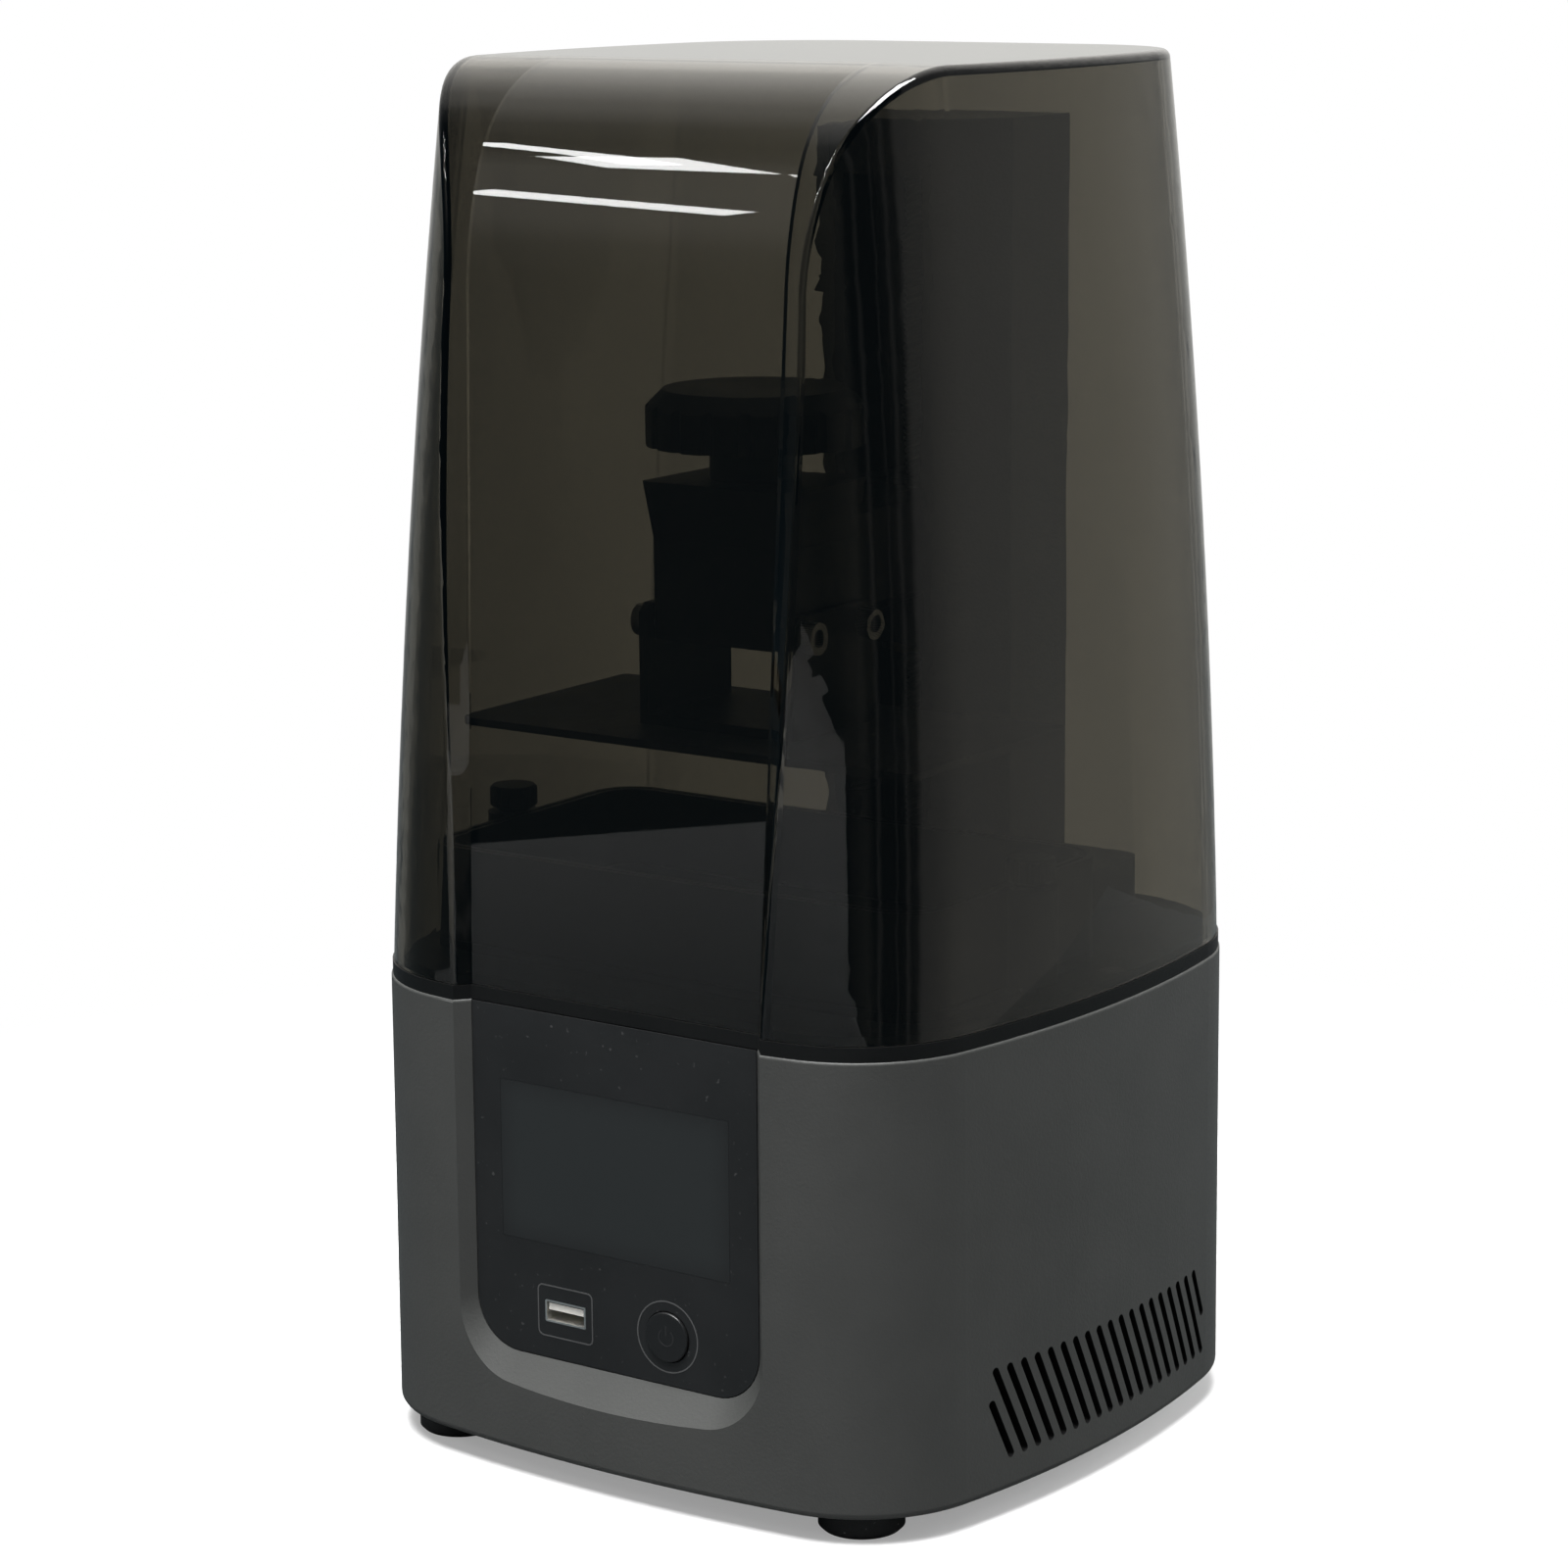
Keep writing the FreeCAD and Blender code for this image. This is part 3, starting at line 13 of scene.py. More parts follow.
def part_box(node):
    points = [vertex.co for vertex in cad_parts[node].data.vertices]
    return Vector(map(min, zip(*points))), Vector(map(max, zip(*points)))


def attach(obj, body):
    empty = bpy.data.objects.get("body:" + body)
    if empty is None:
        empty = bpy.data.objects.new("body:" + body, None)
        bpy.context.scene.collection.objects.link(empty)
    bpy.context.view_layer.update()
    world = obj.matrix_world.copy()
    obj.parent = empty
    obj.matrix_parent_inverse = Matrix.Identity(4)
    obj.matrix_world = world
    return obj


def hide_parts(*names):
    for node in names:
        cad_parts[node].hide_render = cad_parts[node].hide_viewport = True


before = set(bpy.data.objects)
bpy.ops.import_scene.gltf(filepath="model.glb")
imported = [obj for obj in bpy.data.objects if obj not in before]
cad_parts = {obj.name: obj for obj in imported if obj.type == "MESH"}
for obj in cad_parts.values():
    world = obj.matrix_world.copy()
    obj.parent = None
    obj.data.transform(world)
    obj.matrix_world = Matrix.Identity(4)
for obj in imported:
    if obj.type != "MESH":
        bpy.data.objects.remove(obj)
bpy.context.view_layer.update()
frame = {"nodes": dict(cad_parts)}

LOG = logging.getLogger("resin_printer")

Colour = Tuple[float, float, float]
Point = Tuple[float, float, float]
Flat = Tuple[float, float]
Range = Tuple[float, float]
Stops = Tuple[Tuple[float, float], ...]
Value = Union[float, Sequence[float], bpy.types.NodeSocket]

# Blender's wave texture multiplies its coordinate by this before it takes the sine.
WAVE_RATE = 20.0
# Range that most of a noise falls in, and the weight of its finer layers.
NOISE_MIDDLE: Range = (0.3, 0.7)
NOISE_ROUGHNESS = 0.55
# Slow drift of tone and gloss over a surface, in metres, and how much it moves the roughness.
CLOUD_SIZE = 0.035
CLOUD_DETAIL = 4.0
CLOUD_GLOSS = 0.03
# Layers of the fine structures.
GRAIN_DETAIL = 2.0
# Turns a flat primitive upright, to face the front.
UPRIGHT: Point = (math.pi / 2, 0.0, 0.0)
# Middle of the cover's roll-over, which mirrors the strips of light.
ROLL_OVER: Point = (0.0, -0.08, 0.37)


class Grain(Enum):
    """Fine structure of a surface."""

    SPARK = "even pits left by a spark-eroded mould"
    PEEL = "soft bumps of a baked powder coat"
    SANDED = "short crossing scratches"
    BRUSHED = "long scratches along one axis"
    TURNED = "rings left by a lathe"


class Axis(Enum):
    """Axis of a scratch, a turned ring, a band or a component."""

    X = (1.0, 0.0, 0.0)
    Y = (0.0, 1.0, 0.0)
    Z = (0.0, 0.0, 1.0)


class NodeSheet:
    """Node tree of one material, with short calls for what the finishes share."""

    def __init__(self, name: str) -> None:
        """Start a material with one Principled shader.

        Args:
            name: Name of the material.
        """
        self.material = bpy.data.materials.new(name)
        self.material.use_nodes = True
        self.tree = self.material.node_tree
        self.tree.nodes.clear()
        self.output = self.tree.nodes.new("ShaderNodeOutputMaterial")
        self.shader = self.tree.nodes.new("ShaderNodeBsdfPrincipled")
        self.tree.links.new(self.shader.outputs["BSDF"], self.output.inputs["Surface"])
        coordinates = self.tree.nodes.new("ShaderNodeTexCoord")
        self.place = coordinates.outputs["Object"]
        self.facing = coordinates.outputs["Normal"]

    def feed(self, socket: bpy.types.NodeSocket, value: Value) -> None:
        """Link a socket, or set its constant.

        Args:
            socket: Input to fill.
            value: Another socket, a number or a colour.
        """
        if isinstance(value, bpy.types.NodeSocket):
            self.tree.links.new(value, socket)
        elif isinstance(value, (int, float)):
            socket.default_value = value
        else:
            socket.default_value = tuple(value) + (1.0,) * (len(socket.default_value) - len(value))

    def put(self, name: str, value: Value) -> None:
        """Fill an input of the Principled shader.

        Args:
            name: Name of the input.
            value: Another socket, a number or a colour.
        """
        self.feed(self.shader.inputs[name], value)

    def mapped(self, scale: Sequence[float], centre: Point = (0.0, 0.0, 0.0)) -> bpy.types.NodeSocket:
        """Stretch the object's coordinates about a centre.

        Args:
            scale: Factor on each axis.
            centre: Point that becomes the origin.

        Returns:
            The vector socket.
        """
        node = self.tree.nodes.new("ShaderNodeMapping")
        node.inputs["Location"].default_value = [-c * s for c, s in zip(centre, scale)]
        node.inputs["Scale"].default_value = scale
        self.feed(node.inputs["Vector"], self.place)
        return node.outputs["Vector"]

    def noise(self, size: float, detail: float = 3.0,
              stretch: Sequence[float] = (1.0, 1.0, 1.0)) -> bpy.types.NodeSocket:
        """Cloudy noise.

        Args:
            size: Size of its features in metres.
            detail: Number of finer layers.
            stretch: Factor on each axis.

        Returns:
            The noise, from 0 to 1.
        """
        node = self.tree.nodes.new("ShaderNodeTexNoise")
        node.inputs["Scale"].default_value = 1.0 / size
        node.inputs["Detail"].default_value = detail
        node.inputs["Roughness"].default_value = NOISE_ROUGHNESS
        self.feed(node.inputs["Vector"], self.mapped(stretch))
        return node.outputs["Fac"]

    def cells(self, size: float) -> bpy.types.NodeSocket:
        """Distance to the nearest of many scattered points.

        Args:
            size: Spacing of the points in metres.

        Returns:
            The distance, in spacings.
        """
        node = self.tree.nodes.new("ShaderNodeTexVoronoi")
        node.inputs["Scale"].default_value = 1.0 / size
        self.feed(node.inputs["Vector"], self.place)
        return node.outputs["Distance"]

    def rings(self, pitch: float, axis: Axis, centre: Point, waver: float = 0.6) -> bpy.types.NodeSocket:
        """Fine rings round an axis.

        Args:
            pitch: Distance from ring to ring in metres.
            axis: Axis of the rings.
            centre: A point on it.
            waver: How far the rings stray from true circles.

        Returns:
            The wave, from 0 to 1.
        """
        node = self.tree.nodes.new("ShaderNodeTexWave")
        node.wave_type = "RINGS"
        node.rings_direction = axis.name
        node.inputs["Scale"].default_value = 1.0 / (WAVE_RATE * pitch) * math.tau
        node.inputs["Distortion"].default_value = waver
        node.inputs["Detail"].default_value = 1.0
        self.feed(node.inputs["Vector"], self.mapped((1.0, 1.0, 1.0), centre))
        return node.outputs["Fac"]

    def spread(self, source: bpy.types.NodeSocket, low: float, high: float, to_low: float = 0.0,
               to_high: float = 1.0) -> bpy.types.NodeSocket:
        """Move a range of numbers to another, clamped.

        Args:
            source: The numbers.
            low: Start of their range.
            high: End of their range.
            to_low: Start of the new range.
            to_high: End of the new range.

        Returns:
            The new numbers.
        """
        node = self.tree.nodes.new("ShaderNodeMapRange")
        node.interpolation_type = "SMOOTHSTEP"
        settings = {"From Min": low, "From Max": high, "To Min": to_low, "To Max": to_high}
        for name, value in settings.items():
            node.inputs[name].default_value = value
        self.feed(node.inputs["Value"], source)
        return node.outputs["Result"]

    def math(self, kind: str, first: Value, second: Value) -> bpy.types.NodeSocket:
        """One step of arithmetic.

        Args:
            kind: Name of the operation.
            first: First operand.
            second: Second operand.

        Returns:
            The result.
        """
        node = self.tree.nodes.new("ShaderNodeMath")
        node.operation = kind
        self.feed(node.inputs[0], first)
        self.feed(node.inputs[1], second)
        return node.outputs["Value"]

    def blend(self, mask: bpy.types.NodeSocket, first: Value, second: Value) -> bpy.types.NodeSocket:
        """Two colours, by a mask.

        Args:
            mask: 0 for the first, 1 for the second.
            first: First colour.
            second: Second colour.

        Returns:
            The colour.
        """
        node = self.tree.nodes.new("ShaderNodeMix")
        node.data_type = "RGBA"
        self.feed(node.inputs[0], mask)
        self.feed(node.inputs[6], first)
        self.feed(node.inputs[7], second)
        return node.outputs[2]

    def part(self, vector: bpy.types.NodeSocket, axis: Axis) -> bpy.types.NodeSocket:
        """One component of a vector.

        Args:
            vector: The vector.
            axis: Which component.

        Returns:
            The number.
        """
        node = self.tree.nodes.new("ShaderNodeSeparateXYZ")
        self.feed(node.inputs[0], vector)
        return node.outputs[axis.name]

    def inside(self, axis: Axis, low: float, high: float, soft: float) -> bpy.types.NodeSocket:
        """Mask of a band between two planes.

        Args:
            axis: Axis across the band.
            low: Where it starts.
            high: Where it ends.
            soft: Width of its soft edges.

        Returns:
            The mask, 1 within the band.
        """
        along = self.part(self.place, axis)
        rise = self.spread(along, low - soft, low + soft)
        fall = self.spread(along, high - soft, high + soft, 1.0, 0.0)
        return self.math("MULTIPLY", rise, fall)

    def bump(self, height: bpy.types.NodeSocket, depth: float) -> None:
        """Raise the surface by a height.

        Args:
            height: Height from 0 to 1.
            depth: Metres that a height of 1 stands for.
        """
        node = self.tree.nodes.new("ShaderNodeBump")
        node.inputs["Strength"].default_value = 1.0
        node.inputs["Distance"].default_value = depth
        self.feed(node.inputs["Height"], height)
        self.put("Normal", node.outputs["Normal"])


@dataclass(frozen=True)
class OpaqueFinish:
    """A plastic, rubber, coat or metal that light doesn't pass.

    The slots are the ranges in y and z within which walls that face neither side get a painted deep shade.
    """

    name: str
    colour: Colour
    roughness: float
    metallic: float = 0.0
    grain: Grain = Grain.SPARK
    size: float = 0.0006
    depth: float = 0.000012
    shade: float = 0.10
    along: Axis = Axis.Z
    centre: Point = (0.0, 0.0, 0.0)
    shine: float = 0.5
    dust: float = 0.0
    slots: Optional[Tuple[Range, Range]] = None
    grain_gloss: ClassVar[float] = 0.04
    grain_middle: ClassVar[Range] = (0.2, 0.8)
    peel_range: ClassVar[Range] = (0.1, 0.9)
    sanded_stretch: ClassVar[Point] = (1.0, 0.12, 1.0)
    brushed_stretch: ClassVar[float] = 0.03
    speck_size: ClassVar[float] = 0.0016
    speck_range: ClassVar[Range] = (0.72, 0.80)
    speck_pale: ClassVar[float] = 0.35
    speck_own: ClassVar[float] = 0.4
    slot_facing: ClassVar[Range] = (0.3, 0.6)
    slot_edge: ClassVar[float] = 0.0005
    # painted shade: a near-black colour laid on the vent slots' side walls in place of the shade that falls
    # in them
    slot_painted_shade: ClassVar[Colour] = (0.004, 0.004, 0.004)

    def relief(self, sheet: NodeSheet) -> bpy.types.NodeSocket:
        """Height of the fine structure.

        Args:
            sheet: Sheet of the material.

        Returns:
            The height, from 0 to 1.
        """
        if self.grain is Grain.PEEL:
            return sheet.spread(sheet.cells(self.size), *self.peel_range, 1.0, 0.0)
        if self.grain is Grain.SANDED:
            return sheet.noise(self.size, GRAIN_DETAIL, self.sanded_stretch)
        if self.grain is Grain.BRUSHED:
            stretch = [self.brushed_stretch if part else 1.0 for part in self.along.value]
            return sheet.noise(self.size, GRAIN_DETAIL, stretch)
        if self.grain is Grain.TURNED:
            return sheet.rings(self.size, self.along, self.centre)
        return sheet.noise(self.size, GRAIN_DETAIL)

    def dusted(self, sheet: NodeSheet, tone: bpy.types.NodeSocket) -> bpy.types.NodeSocket:
        """A tone with pale specks of dust.

        Args:
            sheet: Sheet of the material.
            tone: The clean tone.

        Returns:
            The dusty tone.
        """
        specks = sheet.spread(sheet.noise(self.speck_size, 1.0), *self.speck_range)
        pale = [self.speck_pale + self.speck_own * c for c in self.colour]
        return sheet.blend(sheet.math("MULTIPLY", specks, self.dust), tone, pale)

    def paint_slot_shade(self, sheet: NodeSheet, tone: bpy.types.NodeSocket) -> bpy.types.NodeSocket:
        """A tone with painted deep shade on the slots' walls.

        Args:
            sheet: Sheet of the material.
            tone: The tone in the open.

        Returns:
            The shaded tone.
        """
        # painted shade: slot walls that face neither side are darkened to near-black, by their facing and
        # their place
        sideways = sheet.math("ABSOLUTE", sheet.part(sheet.facing, Axis.X), 0.0)
        walls = sheet.spread(sideways, *self.slot_facing, 1.0, 0.0)
        for axis, (low, high) in zip((Axis.Y, Axis.Z), self.slots):
            walls = sheet.math("MULTIPLY", walls, sheet.inside(axis, low, high, self.slot_edge))
        return sheet.blend(walls, tone, self.slot_painted_shade)

    def make(self) -> bpy.types.Material:
        """The finished material.

        Returns:
            A node material.
        """
        sheet = NodeSheet(self.name)
        relief = self.relief(sheet)
        cloud = sheet.noise(CLOUD_SIZE, CLOUD_DETAIL)
        darker = [c * (1.0 - self.shade) for c in self.colour]
        lighter = [c * (1.0 + self.shade) for c in self.colour]
        tone = sheet.blend(sheet.spread(cloud, *NOISE_MIDDLE), darker, lighter)
        if self.dust:
            tone = self.dusted(sheet, tone)
        # painted shade in the vent slots
        if self.slots:
            tone = self.paint_slot_shade(sheet, tone)
        sheet.put("Base Color", tone)
        fine = sheet.spread(relief, *self.grain_middle, -self.grain_gloss, self.grain_gloss)
        slow = sheet.spread(cloud, *NOISE_MIDDLE, self.roughness - CLOUD_GLOSS, self.roughness + CLOUD_GLOSS)
        sheet.put("Roughness", sheet.math("ADD", fine, slow))
        sheet.put("Metallic", self.metallic)
        sheet.put("Specular IOR Level", self.shine)
        sheet.bump(relief, self.depth)
        return sheet.material


@dataclass(frozen=True)
class ClearFinish:
    """A clear plastic or film that tints what is behind it."""

    name: str
    tint: Colour
    roughness: float = 0.01
    ior: float = 1.49
    smear: float = 0.015
    smear_size: float = 0.012
    smear_stretch: Point = (1.0, 1.0, 0.25)
    smear_range: Range = (0.55, 0.8)
    cloud_size: float = 0.05
    cloud_dim: float = 0.97

    def make(self) -> bpy.types.Material:
        """The finished material.

        Returns:
            A node material.
        """
        sheet = NodeSheet(self.name)
        cloud = sheet.spread(sheet.noise(self.cloud_size), *NOISE_MIDDLE)
        sheet.put("Base Color", sheet.blend(cloud, [c * self.cloud_dim for c in self.tint], self.tint))
        wiped = sheet.noise(self.smear_size, stretch=self.smear_stretch)
        sheet.put("Roughness", sheet.spread(wiped, *self.smear_range, self.roughness,
                                            self.roughness + self.smear))
        sheet.put("IOR", self.ior)
        sheet.put("Transmission Weight", 1.0)
        return sheet.material


@dataclass(frozen=True)
class ScreenFinish:
    """Dark glass over a display, a touch lighter where the display is."""

    name: str
    border: Colour
    display: Colour
    x: Range
    z: Range
    roughness: float = 0.2
    soft: float = 0.0008
    ripple_size: float = 0.0012
    ripple_depth: float = 0.000005

    def make(self) -> bpy.types.Material:
        """The finished material.

        Returns:
            A node material.
        """
        sheet = NodeSheet(self.name)
        wide = sheet.inside(Axis.X, *self.x, self.soft)
        tall = sheet.inside(Axis.Z, *self.z, self.soft)
        sheet.put("Base Color", sheet.blend(sheet.math("MULTIPLY", wide, tall), self.border, self.display))
        smear = sheet.noise(CLOUD_SIZE, CLOUD_DETAIL)
        sheet.put("Roughness", sheet.spread(smear, *NOISE_MIDDLE, self.roughness - CLOUD_GLOSS,
                                            self.roughness + CLOUD_GLOSS))
        sheet.bump(sheet.noise(self.ripple_size, GRAIN_DETAIL), self.ripple_depth)
        return sheet.material


@dataclass(frozen=True)
class BoardFinish:
    """A circuit board with its solder mask and copper runs."""

    name: str
    mask: Colour
    copper: Colour
    runs_per_metre: float = 90.0
    run_width: float = 0.012
    run_height: float = 0.00003
    gloss_size: float = 0.004
    roughness: Range = (0.28, 0.42)

    def make(self) -> bpy.types.Material:
        """The finished material.

        Returns:
            A node material.
        """
        sheet = NodeSheet(self.name)
        bricks = sheet.tree.nodes.new("ShaderNodeTexBrick")
        bricks.inputs["Scale"].default_value = self.runs_per_metre
        bricks.inputs["Mortar Size"].default_value = self.run_width
        sheet.feed(bricks.inputs["Vector"], sheet.place)
        sheet.put("Base Color", sheet.blend(bricks.outputs["Fac"], self.mask, self.copper))
        sheet.put("Roughness", sheet.spread(sheet.noise(self.gloss_size), *NOISE_MIDDLE, *self.roughness))
        sheet.bump(bricks.outputs["Fac"], self.run_height)
        return sheet.material


Finish = Union[OpaqueFinish, ClearFinish, ScreenFinish, BoardFinish]


class Wardrobe:
    """Materials made so far, one for each finish."""

    made: Dict[str, bpy.types.Material] = {}

    @classmethod
    def of(cls, finish: Finish) -> bpy.types.Material:
        """The material of a finish, made on first use.

        Args:
            finish: The finish.

        Returns:
            Its material.
        """
        if finish.name not in cls.made:
            cls.made[finish.name] = finish.make()
        return cls.made[finish.name]

    @classmethod
    def dress(cls, finish: Finish, *nodes: str) -> None:
        """Give CAD nodes a finish.

        Args:
            finish: The finish.
            nodes: Names of the nodes.
        """
        for node in nodes:
            mesh = frame["nodes"][node].data
            mesh.materials.clear()
            mesh.materials.append(cls.of(finish))
            LOG.info("dressed %s in %s", node, finish.name)


class Bench:
    """Modelling steps that the new pieces share."""

    smooth_angle: float = math.radians(35.0)

    @staticmethod
    def clear() -> None:
        """Leave edit mode and deselect everything."""
        if bpy.context.object and bpy.context.object.mode != "OBJECT":
            bpy.ops.object.mode_set(mode="OBJECT")
        bpy.ops.object.select_all(action="DESELECT")

    @staticmethod
    def edit(kind: str = "FACE") -> None:
        """Enter edit mode with everything selected.

        Args:
            kind: VERT, EDGE or FACE selection.
        """
        bpy.ops.object.mode_set(mode="EDIT")
        bpy.ops.mesh.select_mode(type=kind)
        bpy.ops.mesh.select_all(action="SELECT")

    @staticmethod
    def pick(kind: str, test: Callable[[Vector], bool]) -> None:
        """Enter edit mode and select the elements whose middle passes a test.

        Args:
            kind: VERT, EDGE or FACE selection.
            test: Test of a middle point in the piece's own coordinates.
        """
        Bench.edit(kind)
        bpy.ops.mesh.select_all(action="DESELECT")
        mesh = bpy.context.object.data
        shape = bmesh.from_edit_mesh(mesh)
        for element in {"VERT": shape.verts, "EDGE": shape.edges, "FACE": shape.faces}[kind]:
            corners = [element.co] if kind == "VERT" else [corner.co for corner in element.verts]
            element.select_set(test(sum(corners, Vector()) / len(corners)))
        shape.select_flush_mode()
        bmesh.update_edit_mesh(mesh)

    @staticmethod
    def sized(scale: Sequence[float]) -> None:
        """Give the active primitive its size.

        Args:
            scale: Factor on each of its own axes.
        """
        bpy.context.object.scale = scale
        bpy.ops.object.transform_apply(location=False, rotation=False, scale=True)

    @staticmethod
    def settle() -> bpy.types.Object:
        """Leave edit mode and put the active piece's place into its mesh.

        Returns:
            The piece.
        """
        bpy.ops.object.mode_set(mode="OBJECT")
        bpy.ops.object.transform_apply(location=True, rotation=True, scale=True)
        return bpy.context.object

    @staticmethod
    def apply(kind: str, **settings: object) -> None:
        """Add a modifier to the active piece and apply it.

        Args:
            kind: Type of the modifier.
            settings: Its settings.
        """
        modifier = bpy.context.object.modifiers.new(kind.title(), kind)
        for name, value in settings.items():
            setattr(modifier, name, value)
        bpy.ops.object.modifier_apply(modifier=modifier.name)

    @staticmethod
    def join(pieces: Sequence[bpy.types.Object]) -> bpy.types.Object:
        """Join pieces into the first of them.

        Args:
            pieces: Pieces to join.

        Returns:
            The joined piece.
        """
        Bench.clear()
        for piece in pieces:
            piece.select_set(True)
        bpy.context.view_layer.objects.active = pieces[0]
        bpy.ops.object.join()
        return bpy.context.object

    @staticmethod
    def hand_over(piece: bpy.types.Object, name: str, body: str, finish: Finish,
                  slot: str) -> bpy.types.Object:
        """Name a finished piece, dress it and let it ride on a body.

        Args:
            piece: The piece.
            name: Its name.
            body: CAD body that it moves with.
            finish: Its finish.
            slot: Name of a material slot; not used.

        Returns:
            The piece.
        """
        piece.name = name
        piece.data.name = name
        piece.data.materials.clear()
        piece.data.materials.append(Wardrobe.of(finish))
        bpy.ops.object.shade_smooth_by_angle(angle=Bench.smooth_angle)
        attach(piece, body)
        LOG.info("modelled %s on %s", name, body)
        return piece


@dataclass
class Housing:
    """Moulded base with its seal, deck, feet and bottom sheet."""

    shell: Finish = OpaqueFinish("satin_grey_shell", (0.0555, 0.057, 0.0548), 0.46, size=0.0009,
                                 depth=0.00005, shade=0.05, shine=0.35,
                                 slots=((-0.058, 0.058), (0.015, 0.044)))
    seal: Finish = OpaqueFinish("black_seal", (0.0045, 0.0048, 0.0048), 0.48, size=0.0009, depth=0.000010,
                                shine=0.3)
    rubber: Finish = OpaqueFinish("foot_rubber", (0.012, 0.012, 0.012), 0.72, size=0.0005, depth=0.00003,
                                  dust=0.25)
    deck: Finish = OpaqueFinish("deck_powder_coat", (0.018, 0.019, 0.021), 0.5, grain=Grain.PEEL, size=0.0009,
                                depth=0.00003)
    sheet: Finish = OpaqueFinish("zinc_sheet", (0.36, 0.36, 0.37), 0.42, 1.0, Grain.BRUSHED, 0.0006, 0.000008,
                                 along=Axis.X)
    screw: Finish = OpaqueFinish("black_oxide_screw", (0.045, 0.045, 0.047), 0.38, 0.8, Grain.TURNED, 0.0004,
                                 0.000008)

    def dress(self) -> None:
        """Dress the housing's nodes."""
        Wardrobe.dress(self.shell, "base_shell")
        Wardrobe.dress(self.seal, "cover_seal")
        Wardrobe.dress(self.rubber, "foot_pads")
        Wardrobe.dress(self.deck, "top_deck")
        Wardrobe.dress(self.sheet, "base_plate", "motor_bracket")
        Wardrobe.dress(self.screw, "base_screws", "deck_screws", "film_screws")


@dataclass
class Cover:
    """Smoked cover that lifts off."""

    smoke: Finish = ClearFinish("smoked_cover", (0.27, 0.254, 0.212), 0.012)

    def dress(self) -> None:
        """Dress the cover."""
        Wardrobe.dress(self.smoke, "cover")


